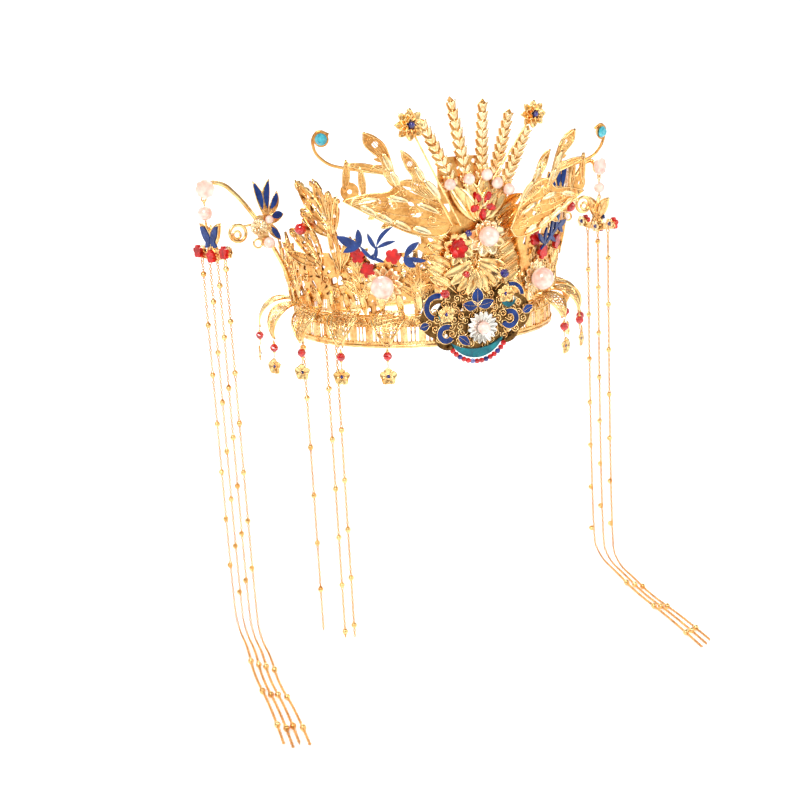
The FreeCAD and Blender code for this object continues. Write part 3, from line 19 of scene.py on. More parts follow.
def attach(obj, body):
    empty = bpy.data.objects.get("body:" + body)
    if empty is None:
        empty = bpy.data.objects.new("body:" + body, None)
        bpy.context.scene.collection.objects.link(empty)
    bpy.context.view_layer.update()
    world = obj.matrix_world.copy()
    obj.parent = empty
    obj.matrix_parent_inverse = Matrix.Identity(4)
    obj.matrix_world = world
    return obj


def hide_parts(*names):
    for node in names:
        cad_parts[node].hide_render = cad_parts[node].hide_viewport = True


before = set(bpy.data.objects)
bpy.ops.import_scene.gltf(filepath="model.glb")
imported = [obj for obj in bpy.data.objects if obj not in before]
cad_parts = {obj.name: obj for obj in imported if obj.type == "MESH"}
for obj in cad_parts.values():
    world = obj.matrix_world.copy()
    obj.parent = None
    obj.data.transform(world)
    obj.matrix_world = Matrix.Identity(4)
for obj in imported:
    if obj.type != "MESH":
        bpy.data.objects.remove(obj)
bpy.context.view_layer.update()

LOG = logging.getLogger("phoenix_crown")
MM = 0.001
MIRROR = Matrix.Diagonal((-1.0, 1.0, 1.0, 1.0))
BODY = "root"
SIDES = (("left", False), ("right", True))

Blade = namedtuple("Blade", "root_x root_y tip_x tip_y width bend")
Leaf = namedtuple("Leaf", "angle drop reach turn")
Spot = namedtuple("Spot", "x y radius")
Ear = namedtuple("Ear", "root_x root_y tip_x tip_y")
Strand = namedtuple("Strand", "offset end_x end_y ball_start")
Tassel = namedtuple("Tassel", "side facing lift strands")
Pose = namedtuple("Pose", "lean lift")
SideChain = namedtuple("SideChain", "angle radius top foot first_ball")
Frond = namedtuple("Frond", "angle height size")
Band = namedtuple("Band", "x y inner outer start end")
Lamp = namedtuple("Lamp", "name spot power")

# Sizes that the solids share
RING_RADIUS = 70.0
BAND_HEIGHT = 17.0
WALL_RADIUS = 70.6
WALL_BASE = 20.0
WALL_LEAN = 9.0
FAN_RADIUS = 68.6
FAN_LEAN = 3.0
PLAQUE_RADIUS = 70.7
PLAQUE_HEIGHT = 5.0
WING_ANGLE = -20.0
WING_RADIUS = 72.6
CREST_Y = -1.4
FLOOR = -162.0
BALL_RADIUS = 1.65
BALL_PITCH = 27.0
CHAIN_RADIUS = 0.9
TASSEL_X = 113.0
TASSEL_Y = 3.0
STRAND_TOP = 43.0
STRAND_SPREAD = 22.0
LYING_LENGTH = 128.0

LEAVES_LEFT = (
    Leaf(-34.0, 13.0, 16.0, -26.0), Leaf(-50.5, 14.0, 16.0, -36.0), Leaf(-68.0, 14.0, 16.0, -46.0),
    Leaf(-86.5, 15.0, 17.0, -58.0), Leaf(-104.5, 12.5, 20.0, -104.5))
LEAVES_RIGHT = (
    Leaf(34.0, 9.0, 16.5, 34.0), Leaf(51.0, 10.0, 16.5, 45.0), Leaf(68.0, 12.0, 16.5, 60.0),
    Leaf(86.5, 14.0, 16.5, 75.0), Leaf(104.5, 13.0, 16.5, 104.5))
LEAVES = (("left", LEAVES_LEFT), ("right", LEAVES_RIGHT))
SIDE_CHAINS = (
    SideChain(-58.2, 75.0, 20.3, 4.5, 9.0), SideChain(-65.0, 73.2, 12.6, 1.0, 8.0),
    SideChain(-79.0, 75.0, 20.3, 0.0, 23.0))
TASSEL_LEFT = Tassel(-1, -70.0, 0.0, (
    Strand(-0.5, -127.0, -2.0, 6.0), Strand(-0.17, -124.0, 3.0, 20.0),
    Strand(0.17, -120.5, 1.0, 11.0), Strand(0.5, -116.5, 4.0, 2.0)))
TASSEL_RIGHT = Tassel(1, 100.0, -2.5, (
    Strand(-0.4, 102.8, -3.0, 14.0), Strand(0.0, 98.6, 0.0, 5.0), Strand(0.4, 94.4, 2.0, 22.0)))
TASSELS = (("left", TASSEL_LEFT), ("right", TASSEL_RIGHT))
EARS = (Ear(-10.0, 57.0, -27.5, 90.5), Ear(-3.6, 58.5, -12.2, 99.7), Ear(3.6, 59.5, 4.8, 98.1),
        Ear(9.4, 58.0, 18.9, 92.9), Ear(13.8, 54.0, 29.1, 84.6))
EAR_WIDTH = 7.2
EAR_TEETH = 9
FAN_PEARLS = (Spot(-14.1, 59.4, 2.75), Spot(-4.2, 61.3, 2.75), Spot(5.2, 62.8, 2.75),
              Spot(10.6, 58.6, 2.75), Spot(16.8, 55.2, 2.75))
CENTRE_PEARL = Spot(5.0, 33.6, 4.9)
RED_CUP = Spot(-10.0, 28.4, 4.3)
CRYSTAL_FLOWER = Spot(3.6, 48.6, 4.6)
STEM_LEFT = Ear(-9.5, 40.0, -34.5, 88.0)
STEM_RIGHT = Ear(7.9, 60.7, 29.0, 90.0)
FRONDS = (
    Frond(-24.0, 29.0, 0.8), Frond(-46.0, 36.0, 0.95), Frond(-84.0, 38.0, 0.95), Frond(-97.0, 34.0, 0.8))
OAK_ANGLE = -64.0
OAK_BLADES = (
    Blade(14.0, 18.0, 12.5, 47.0, 7.0, 0.0), Blade(13.0, 41.0, -6.0, 65.0, 9.5, 0.8),
    Blade(12.5, 43.0, 6.5, 65.5, 7.6, 0.0), Blade(13.5, 43.0, 15.5, 59.5, 5.6, 0.0),
    Blade(14.0, 38.0, 21.0, 57.0, 4.4, 0.0), Blade(12.0, 37.0, -6.5, 50.0, 7.4, 0.6),
    Blade(2.0, 22.0, -6.0, 45.5, 8.4, 0.0), Blade(0.0, 24.0, -17.0, 40.0, 6.2, 0.0),
    Blade(0.0, 22.0, -22.0, 28.0, 6.4, 0.0), Blade(16.0, 22.0, 25.0, 37.0, 5.6, 0.0))
WING_LOW = 1.3
WING_SHAPES = (
    (((-10.0, 58.0), (-13.0, 65.5), (-14.5, 72.0), (-18.0, 80.5), (-26.5, 85.5)),
     ((-10.0, 58.0), (-17.5, 65.0), (-19.0, 72.5), (-26.0, 79.5), (-26.5, 85.5))),
    (((9.0, 50.0), (3.0, 58.0), (-0.5, 64.0), (-3.0, 70.5), (-9.5, 76.5)),
     ((9.0, 50.0), (-4.5, 57.5), (-4.6, 64.0), (-7.6, 69.0), (-9.5, 76.5))),
    (((-38.0, 54.5), (-27.0, 56.8), (-16.0, 57.6), (-9.0, 62.5), (4.0, 57.0), (13.5, 40.0)),
     ((-38.0, 54.5), (-29.0, 49.2), (-17.0, 42.5), (-4.5, 36.8), (8.0, 35.5), (13.5, 40.0))))
WING_BLADES = (
    Blade(-37.2, 58.0, -35.4, 73.5, 3.4, -0.6), Blade(-36.4, 71.4, -12.0, 64.6, 3.4, 0.9),
    Blade(-29.0, 70.0, -27.8, 55.0, 3.2, 0.0), Blade(-16.0, 68.0, -23.2, 70.0, 2.0, 0.0),
    Blade(-20.0, 48.0, -26.5, 45.2, 2.6, 0.0), Blade(-14.0, 44.0, -20.5, 40.6, 2.6, 0.0))
WING_CURLS = (Spot(-24.0, 53.0, 2.6), Spot(-14.5, 51.0, 2.8), Spot(-5.0, 47.5, 3.0), Spot(4.0, 43.0, 2.8),
              Spot(-9.0, 56.8, 2.2), Spot(0.5, 52.4, 2.4), Spot(-19.0, 47.2, 2.0), Spot(7.5, 46.8, 2.2))
WING_BARBS = (
    Blade(-31.0, 51.5, -22.0, 46.6, 3.2, 0.7), Blade(-24.0, 47.5, -14.5, 42.6, 3.4, 0.7),
    Blade(-15.5, 43.5, -6.0, 38.6, 3.4, 0.7), Blade(-6.5, 40.0, 3.5, 36.6, 3.2, 0.7),
    Blade(8.5, 52.0, 0.0, 63.0, 3.4, -0.8), Blade(1.0, 60.5, -3.6, 69.0, 3.0, -0.6),
    Blade(-11.0, 58.5, -15.2, 67.5, 3.4, -0.6), Blade(-14.4, 66.5, -18.4, 76.0, 3.4, -0.6),
    Blade(-33.0, 52.5, -20.0, 54.5, 2.6, 0.5), Blade(-18.0, 55.0, -6.5, 52.4, 2.8, 0.5),
    Blade(-4.0, 51.5, 8.0, 46.0, 2.8, 0.5))
WING_POSE = {"left": Pose(4.0, 0.0), "right": Pose(9.0, -2.8)}
PEARL_SPOT = {"left": (-35.5, 13.5), "right": (-27.5, 10.4)}
FRINGE_CENTRE = Spot(-1.3, 4.2, 17.3)
FRINGE_FIRST = -141.0
FRINGE_LAST = -35.0
FRINGE_OUT = 3.1
FRINGE_ORDER = "rrbrrcrrbrrbrr"
DAISY = Spot(1.2, 3.6, 7.9)
CREST_PLATES = (
    Blade(-85.5, 64.0, -90.8, 83.5, 4.4, -1.0), Blade(-85.0, 65.0, -82.4, 84.0, 4.4, 1.2),
    Blade(-84.0, 65.0, -78.6, 77.8, 4.2, -1.0), Blade(-86.0, 62.0, -76.0, 66.0, 5.6, 0.6),
    Blade(-85.0, 63.0, -78.2, 53.0, 4.4, -0.4))
CREST_ROSETTE = Spot(-89.7, 60.2, 4.6)
BLUE_TREFOIL = (
    Blade(0, 14.0, 0.2, 23.5, 6.4, 0.0), Blade(0.5, 14.5, -8.2, 15.8, 5.0, 0.6),
    Blade(-0.5, 14.5, 9.0, 16.2, 5.0, -0.6), Blade(-25.8, 7.6, -31.6, 6.2, 4.0, 0.0),
    Blade(24.2, 8.4, 30.4, 11.6, 4.0, 0.0), Blade(-11.4, 0.4, -4.8, -5.0, 4.2, 0.2))
BLUE_BANDS = (
    Band(-21.6, 15.6, 4.2, 7.2, 70, 245), Band(-17.4, 2.0, 2.0, 5.0, 60, 320),
    Band(17.2, 6.2, 2.2, 5.2, -150, 110), Band(18.6, 17.6, 4.6, 7.0, 0, 100))
FRONT_DROPS = (Spot(-19.0, 32.0, 0.0), Spot(13.0, 39.0, 0.0))
FRONT_RADIUS = 77.0
DROP_BEAD_HEIGHT = -4.5
DROP_BEAD_RADIUS = 2.25
GOLDEN_ANGLE = 137.508
BAND_SLOTS = 48
RIM_BEADS = 260
NET_FOOT = 11.2
NET_REACH = 4.4
WALL_TOP = 1.35
PLAQUE_TOP = 2.05


class Finish(Enum):
    """Materials, by the record's slot and a look."""

    GOLD = "gold"
    # Pierced gold is a darker gold: painted shade on the side walls behind the raised relief.
    PIERCED = "pierced gold"
    # Shaded gold is a darker copy of the gold: painted shade on sheets behind the relief and on chain
    # links.
    SHADED = "shaded gold"
    # Pale gold is a lighter copy of the gold: painted light on the most raised petals, barbs and ribs.
    PALE = "pale gold"
    # The dark gold ground below is painted shade between the plaque's curls.
    ANTIQUE = "antique gold"
    BLUE = "blue enamel"
    TEAL = "teal enamel"
    RED = "red enamel"
    RED_STONE = "red stone"
    NAVY = "navy stone"
    CLEAR = "clear blue stone"
    PEARL = "pearl"
    CRYSTAL = "cyan crystal"
    SILVER = "silver"
    FLOOR = "floor"


# The dark end of the shaded and pierced gold: painted shade.
PAINTED_SHADE_GOLD = (0.58, 0.25, 0.06)


# Shader maths

class Term:
    """A shader value that adds, multiplies and compares as numbers do."""

    def __init__(self, tree, socket):
        self.tree = tree
        self.socket = socket

    def _math(self, operation, *others):
        node = self.tree.nodes.new("ShaderNodeMath")
        node.operation = operation
        self.tree.links.new(self.socket, node.inputs[0])
        for index, other in enumerate(others, 1):
            if isinstance(other, Term):
                self.tree.links.new(other.socket, node.inputs[index])
            else:
                node.inputs[index].default_value = other
        return Term(self.tree, node.outputs[0])

    def __add__(self, other):
        return self._math("ADD", other)

    def __mul__(self, other):
        return self._math("MULTIPLY", other)

    def above(self, limit):
        """1 where the value is above a limit, else 0."""
        return self._math("GREATER_THAN", limit)

    def most(self, other):
        """The larger of two values."""
        return self._math("MAXIMUM", other)

    def ramp(self, low, high, start=0.0, end=1.0):
        """The value carried from one range to another, clamped."""
        node = self.tree.nodes.new("ShaderNodeMapRange")
        self.tree.links.new(self.socket, node.inputs["Value"])
        node.inputs["From Min"].default_value = low
        node.inputs["From Max"].default_value = high
        node.inputs["To Min"].default_value = start
        node.inputs["To Max"].default_value = end
        return Term(self.tree, node.outputs["Result"])


class Paint:
    """One procedural material on object coordinates.

    Args:
        finish: which finish it is; its value names the material.
    """

    def __init__(self, finish):
        self.finish = finish
        self.material = bpy.data.materials.new(finish.value.replace(" ", "_"))
        self.material.use_nodes = True
        self.tree = self.material.node_tree
        self.shader = self.tree.nodes["Principled BSDF"]
        self.place = self.tree.nodes.new("ShaderNodeTexCoord").outputs["Object"]

    def noise(self, size, detail=2.0):
        """Soft noise whose features are about a size in millimetres."""
        node = self.tree.nodes.new("ShaderNodeTexNoise")
        node.inputs["Scale"].default_value = 1.0 / (size * MM)
        node.inputs["Detail"].default_value = detail
        self.tree.links.new(self.place, node.inputs["Vector"])
        return Term(self.tree, node.outputs["Fac"])

    def cells(self, size, feature="F1"):
        """Cells about a size in millimetres across."""
        node = self.tree.nodes.new("ShaderNodeTexVoronoi")
        node.feature = feature
        node.inputs["Scale"].default_value = 1.0 / (size * MM)
        self.tree.links.new(self.place, node.inputs["Vector"])
        return Term(self.tree, node.outputs["Distance"])

    def colour(self, first, second, share):
        """Base colour between two colours."""
        node = self.tree.nodes.new("ShaderNodeMix")
        node.data_type = "RGBA"
        node.inputs[6].default_value = (*first, 1.0)
        node.inputs[7].default_value = (*second, 1.0)
        self.tree.links.new(share.socket, node.inputs[0])
        self.tree.links.new(node.outputs[2], self.shader.inputs["Base Color"])

    def drive(self, name, term):
        """Feed one of the shader's sockets."""
        self.tree.links.new(term.socket, self.shader.inputs[name])

    def bump(self, height, depth):
        """Relief of a depth in millimetres."""
        node = self.tree.nodes.new("ShaderNodeBump")
        node.inputs["Distance"].default_value = depth * MM
        node.inputs["Strength"].default_value = 0.8
        self.tree.links.new(height.socket, node.inputs["Height"])
        self.tree.links.new(node.outputs["Normal"], self.shader.inputs["Normal"])

    def fixed(self, **values):
        """Set sockets that stay the same all over."""
        for name, value in values.items():
            self.shader.inputs[name.replace("_", " ")].default_value = value


def metal(finish, bright, shade, rough, grain=1.4):
    """A cast and polished metal, mottled at random between a darker and a brighter colour."""
    paint = Paint(finish)
    mottle = paint.noise(6.0) * 0.6 + paint.noise(grain, 3.0) * 0.4
    paint.colour(shade, bright, mottle.ramp(0.36, 0.56))
    paint.drive("Roughness", paint.noise(2.0).ramp(0.3, 0.7, rough, rough + 0.12))
    paint.bump(paint.noise(grain, 2.0), 0.12)
    paint.fixed(Metallic=1.0)
    return paint


def pierced_gold():
    """Gold sheet cut through with small cells, as filigree is; its darker gold is painted shade behind the
    raised relief.
    """
    paint = metal(Finish.PIERCED, (0.88, 0.50, 0.17), PAINTED_SHADE_GOLD, 0.24)
    web = paint.cells(4.6, "DISTANCE_TO_EDGE")
    paint.drive("Alpha", web.above(0.21).ramp(0.0, 1.0, 1.0, 0.0))
    return paint


def enamel(finish, bright, deep):
    """Glossy enamel with a slightly uneven depth of colour."""
    paint = Paint(finish)
    paint.colour(deep, bright, paint.noise(4.0).ramp(0.35, 0.65))
    paint.drive("Roughness", paint.noise(1.5).ramp(0.3, 0.7, 0.14, 0.3))
    paint.bump(paint.noise(1.2), 0.08)
    paint.fixed(Coat_Weight=0.2, Coat_Roughness=0.06, Specular_IOR_Level=0.25)
    return paint


def stone(finish, bright, deep, clear):
    """Cut glass."""
    paint = Paint(finish)
    paint.colour(deep, bright, paint.noise(1.8).ramp(0.35, 0.65))
    paint.fixed(Roughness=0.04, Transmission_Weight=clear, IOR=1.6, Coat_Weight=0.7)
    return paint


def pearl_paint():
    """Pink-white pearl with a soft sheen."""
    paint = Paint(Finish.PEARL)
    paint.colour((0.86, 0.42, 0.32), (0.95, 0.72, 0.63), paint.noise(3.5).ramp(0.28, 0.6))
    paint.bump(paint.noise(0.9), 0.05)
    paint.fixed(Roughness=0.2, Coat_Weight=0.8, Coat_Roughness=0.12, Sheen_Weight=0.3,
                Subsurface_Weight=0.15, Subsurface_Scale=0.002)
    return paint


def floor_paint():
    """Plain pale floor."""
    paint = Paint(Finish.FLOOR)
    paint.colour((0.93, 0.93, 0.93), (0.96, 0.96, 0.96), paint.noise(60.0))
    paint.fixed(Roughness=0.9, Emission_Color=(1.0, 1.0, 1.0, 1.0), Emission_Strength=0.3)
    paint.material.cycles.emission_sampling = "NONE"
    return paint


def make_paints():
    """Every material, by finish."""
    paints = (
        metal(Finish.GOLD, (0.98, 0.70, 0.32), (0.78, 0.38, 0.11), 0.16),
        # darker copy of the gold, painted shade on sheets and chain links
        metal(Finish.SHADED, (0.86, 0.46, 0.14), PAINTED_SHADE_GOLD, 0.24),
        # lighter copy of the gold, painted light on raised petals
        metal(Finish.PALE, (1.0, 0.80, 0.48), (0.90, 0.54, 0.22), 0.18),
        # near-black gold, painted shade for the plaque's ground between the curls
        metal(Finish.ANTIQUE, (0.24, 0.12, 0.035), (0.014, 0.007, 0.003), 0.36, 1.0),
        metal(Finish.SILVER, (0.95, 0.93, 0.88), (0.62, 0.58, 0.50), 0.22),
        pierced_gold(),
        enamel(Finish.BLUE, (0.010, 0.045, 0.22), (0.004, 0.018, 0.11)),
        enamel(Finish.TEAL, (0.01, 0.22, 0.25), (0.005, 0.10, 0.14)),
        enamel(Finish.RED, (0.72, 0.012, 0.008), (0.36, 0.004, 0.004)),
        stone(Finish.RED_STONE, (0.80, 0.008, 0.008), (0.42, 0.002, 0.004), 0.15),
        stone(Finish.NAVY, (0.04, 0.03, 0.30), (0.01, 0.01, 0.10), 0.2),
        stone(Finish.CLEAR, (0.50, 0.55, 0.90), (0.15, 0.18, 0.60), 0.5),
        stone(Finish.CRYSTAL, (0.10, 0.75, 0.85), (0.02, 0.40, 0.55), 0.4),
        pearl_paint(),
        floor_paint())
    return {paint.finish: paint.material for paint in paints}


# Places

def frame_from(along, up, origin):
    """Matrix whose x and y run along two square directions."""
    normal = along.cross(up)
    columns = Matrix((along, up, normal)).transposed().to_4x4()
    return Matrix.Translation(origin) @ columns


def facing(angle, origin, lean=0.0):
    """Place at a point: x runs across, y up and z towards an angle."""
    turn = math.radians(angle)
    tilt = math.radians(lean)
    outward = Vector((math.sin(turn), -math.cos(turn), 0.0))
    along = Vector((math.cos(turn), math.sin(turn), 0.0))
    up = Vector((0.0, 0.0, math.cos(tilt))) + outward * math.sin(tilt)
    return frame_from(along, up, origin)


def site(angle, radius, height, lean=0.0):
    """Place on the ring: x runs along it, y up and z outwards."""
    turn = math.radians(angle)
    return facing(angle, Vector((radius * math.sin(turn), -radius * math.cos(turn), height)), lean)


def wall_site(angle):
    """Place on the leaning side wall."""
    return site(angle, WALL_RADIUS, WALL_BASE, WALL_LEAN)


def sided(place, right):
    """The place itself, or its mirror image on the right side."""
    return MIRROR @ place if right else place


# Mesh making

@dataclass
class Form:
    """Vertices and faces in millimetres, which become one piece.

    Attributes:
        place: matrix that new parts are made in.
        finish: finish of new faces.
    """

    place: Matrix = field(default_factory=lambda: Matrix.Identity(4))
    finish: Finish = Finish.GOLD
    vertices: list = field(default_factory=list)
    faces: list = field(default_factory=list)
    finishes: list = field(default_factory=list)
    flat: list = field(default_factory=list)

    def add(self, rows, faces, flat=False):
        """Add placed vertices and faces in the current finish."""
        start = len(self.vertices)
        self.vertices += [self.place @ Vector(row) for row in rows]
        self.faces += [[start + index for index in face] for face in faces]
        self.finishes += [self.finish] * len(faces)
        self.flat += [flat] * len(faces)

    def tube(self, points, radius, sides=6, taper=1.0):
        """A wire along points; taper is the end's share of the radius."""
        points = [Vector(point) for point in points]
        rows = []
        faces = []
        last = len(points) - 1
        guide = Vector((0.13, 0.21, 0.97))
        for index, point in enumerate(points):
            run = points[min(index + 1, last)] - points[max(index - 1, 0)]
            run.normalize()
            side = run.cross(guide)
            if side.length < 0.05:
                side = run.cross(Vector((1.0, 0.0, 0.0)))
            side.normalize()
            up = side.cross(run)
            size = radius * (1.0 + (taper - 1.0) * index / last)
            for step in range(sides):
                turn = 2.0 * math.pi * step / sides
                rows.append(point + side * (size * math.cos(turn)) + up * (size * math.sin(turn)))
        for index in range(last):
            for step in range(sides):
                first = index * sides + step
                second = index * sides + (step + 1) % sides
                faces.append((first, second, second + sides, first + sides))
        faces.append(tuple(range(sides - 1, -1, -1)))
        faces.append(tuple(range(last * sides, last * sides + sides)))
        self.add(rows, faces)

    def shell(self, grid, thickness):
        """A closed sheet from a grid of rows of points; its back lies below in z."""
        across = len(grid[0])
        top = [Vector(point) for row in grid for point in row]
        down = Vector((0.0, 0.0, thickness))
        rows = top + [point - down for point in top]
        half = len(top)
        faces = []
        for row in range(len(grid) - 1):
            for column in range(across - 1):
                first = row * across + column
                face = (first, first + 1, first + across + 1, first + across)
                faces.append(face)
                faces.append(tuple(half + index for index in reversed(face)))
        border = list(range(across))
        border += [row * across + across - 1 for row in range(1, len(grid))]
        border += [(len(grid) - 1) * across + column for column in range(across - 2, -1, -1)]
        border += [row * across for row in range(len(grid) - 2, 0, -1)]
        for first, second in zip(border, border[1:] + border[:1]):
            faces.append((first, first + half, second + half, second))
        self.add(rows, faces)

    def petal(self, blade, low, rise=0.0, cup=0.0, crease=0.4, thickness=0.5, steps=7):
        """A leaf with a creased middle that rises to its tip."""
        grid = []
        for step in range(steps + 1):
            share = 0.03 + 0.94 * step / steps
            belly = 4.0 * share * (1.0 - share)
            lift = low + rise * share + cup * belly
            centre, side = middle_line(blade, share)
            row = []
            for across in (-1.0, -0.5, 0.0, 0.5, 1.0):
                offset = side * (across * blade.width / 2.0 * belly ** 0.8)
                height = lift - crease * (1.0 - abs(across)) * belly + cup * 0.5 * across * across * belly
                row.append((centre.x + offset.x, centre.y + offset.y, height))
            grid.append(row)
        self.shell(grid, thickness)

    def bead(self, centre, radius, sides=10, stacks=6, squash=1.0, smooth=False):
        """A faceted or round bead."""
        rows = [(centre[0], centre[1], centre[2] + radius * squash)]
        for stack in range(1, stacks):
            polar = math.pi * stack / stacks
            for step in range(sides):
                turn = 2.0 * math.pi * (step + 0.5 * (stack % 2)) / sides
                rows.append((centre[0] + radius * math.sin(polar) * math.cos(turn),
                             centre[1] + radius * math.sin(polar) * math.sin(turn),
                             centre[2] + radius * squash * math.cos(polar)))
        rows.append((centre[0], centre[1], centre[2] - radius * squash))
        faces = []
        for step in range(sides):
            after = (step + 1) % sides
            faces.append((0, 1 + step, 1 + after))
            low = 1 + (stacks - 2) * sides
            faces.append((len(rows) - 1, low + after, low + step))
        for stack in range(stacks - 2):
            for step in range(sides):
                after = (step + 1) % sides
                first = 1 + stack * sides
                second = first + sides
                if stack % 2:
                    faces.append((first + step, second + step, second + after))
                    faces.append((first + step, second + after, first + after))
                else:
                    faces.append((first + step, second + step, first + after))
                    faces.append((first + after, second + step, second + after))
        self.add(rows, faces, flat=not smooth)

    def rimmed(self, blade, low, wire=0.35, veins=0, rib=0.3):
        """Raised rims along a leaf's edges, a middle rib and side veins."""
        steps = [step / 8.0 for step in range(9)]
        for sign in (-1.0, 1.0):
            self.tube([edge_point(blade, share, sign, low) for share in steps], wire, 5)
        self.tube([edge_point(blade, share, 0.0, low + 0.15) for share in steps[:8]], rib, 5, 0.5)
        for vein in range(veins):
            share = 0.15 + 0.65 * vein / max(veins - 1, 1)
            for sign in (-0.85, 0.85):
                foot = edge_point(blade, share, 0.0, low)
                self.tube([foot, edge_point(blade, min(share + 0.12, 0.95), sign, low)], 0.22, 4)

    def bloom(self, spot, count, width, low, shape, turn=0.0, inner=0.0, bend=0.0):
        """A ring of petals round a spot.

        Args:
            spot: the middle, with the reach of the petals' tips.
            shape: the petals' rise, cup, crease, thickness and steps.
            inner: how far from the middle they start.
        """
        for index in range(count):
            angle = math.radians(360.0 / count * index + turn)
            run = (math.cos(angle), math.sin(angle))
            root = (spot.x + inner * run[0], spot.y + inner * run[1])
            tip = (spot.x + spot.radius * run[0], spot.y + spot.radius * run[1])
            self.petal(Blade(root[0], root[1], tip[0], tip[1], width, bend), low, *shape)

    def scroll(self, centre, radius, start, turns, low, wire=0.35, tail=0.0):
        """A spiral curl of wire with an optional straight tail."""
        steps = max(8, int(14 * abs(turns)))
        points = []
        for step in range(steps + 1):
            share = step / steps
            turn = math.radians(start) + 2.0 * math.pi * turns * share
            size = radius * (0.22 + 0.78 * share)
            points.append((centre[0] + size * math.cos(turn), centre[1] + size * math.sin(turn), low))
        if tail:
            run = (Vector(points[-1]) - Vector(points[-2])).normalized()
            points.append(Vector(points[-1]) + run * tail)
        self.tube(points, wire, 5)
        self.bead(points[0], wire * 1.7, 6, 4, smooth=True)

    def piece(self, name, *nodes):
        """Make the mesh object and let it ride; nodes are the solids it stands for.

        Returns:
            The new object.
        """
        used = sorted(set(self.finishes), key=lambda finish: finish.value)
        mesh = bpy.data.meshes.new(name)
        mesh.from_pydata([vertex * MM for vertex in self.vertices], [], self.faces)
        for finish in used:
            mesh.materials.append(PAINTS[finish])
        for polygon, finish, flat in zip(mesh.polygons, self.finishes, self.flat):
            polygon.material_index = used.index(finish)
            polygon.use_smooth = not flat
        made = bmesh.new()
        made.from_mesh(mesh)
        bmesh.ops.recalc_face_normals(made, faces=made.faces)
        made.to_mesh(mesh)
        made.free()
        return ride(bpy.data.objects.new(name, mesh), used[0], nodes)


def ride(piece, finish, nodes=()):
    """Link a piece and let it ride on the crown."""
    if piece.name not in bpy.context.scene.collection.objects:
        bpy.context.scene.collection.objects.link(piece)
    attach(piece, BODY)
    if nodes:
        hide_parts(*nodes)
    return piece


def middle_line(blade, share):
    """A point on a leaf's middle line, and its square direction."""
    run = Vector((blade.tip_x - blade.root_x, blade.tip_y - blade.root_y))
    side = Vector((-run.y, run.x)).normalized()
    root = Vector((blade.root_x, blade.root_y))
    return root + run * share + side * (blade.bend * 4.0 * share * (1.0 - share)), side


def edge_point(blade, share, across, low):
    """A point of a leaf: across is -1 and 1 on its edges."""
    centre, side = middle_line(blade, share)
    spot = centre + side * (across * 0.46 * blade.width * 4.0 * share * (1.0 - share))
    return (spot.x, spot.y, low)


def arc_points(spot, low, start, end, steps):
    """Points along an arc round a spot, from one angle in degrees to another."""
    turns = [math.radians(start + (end - start) * step / steps) for step in range(steps + 1)]
    return [(spot.x + spot.radius * math.cos(turn), spot.y + spot.radius * math.sin(turn), low)
            for turn in turns]


def either_way(index, turns):
    """Turns of a curl, the other way round at every second index."""
    return turns if index % 2 else -turns


def seed_spots(count, pitch, middle, wide, tall):
    """Spots spread as a sunflower's seeds are, by index."""
    for index in range(count):
        turn = math.radians(GOLDEN_ANGLE * index)
        reach = pitch * math.sqrt(index + 0.5)
        yield index, (wide * reach * math.cos(turn), middle + tall * reach * math.sin(turn))


def smooth_line(points, steps=6):
    """A smooth line through points, as a Catmull-Rom spline."""
    points = [Vector(point) for point in points]
    ends = [points[0] * 2 - points[1]] + points + [points[-1] * 2 - points[-2]]
    line = []
    for a, b, c, d in zip(ends, ends[1:], ends[2:], ends[3:]):
        for step in range(steps):
            t = step / steps
            line.append(0.5 * ((2 * b) + (c - a) * t + (2 * a - 5 * b + 4 * c - d) * t * t
                               + (3 * b - a - 3 * c + d) * t ** 3))
    line.append(points[-1])
    return line


# Repeats with geometry nodes

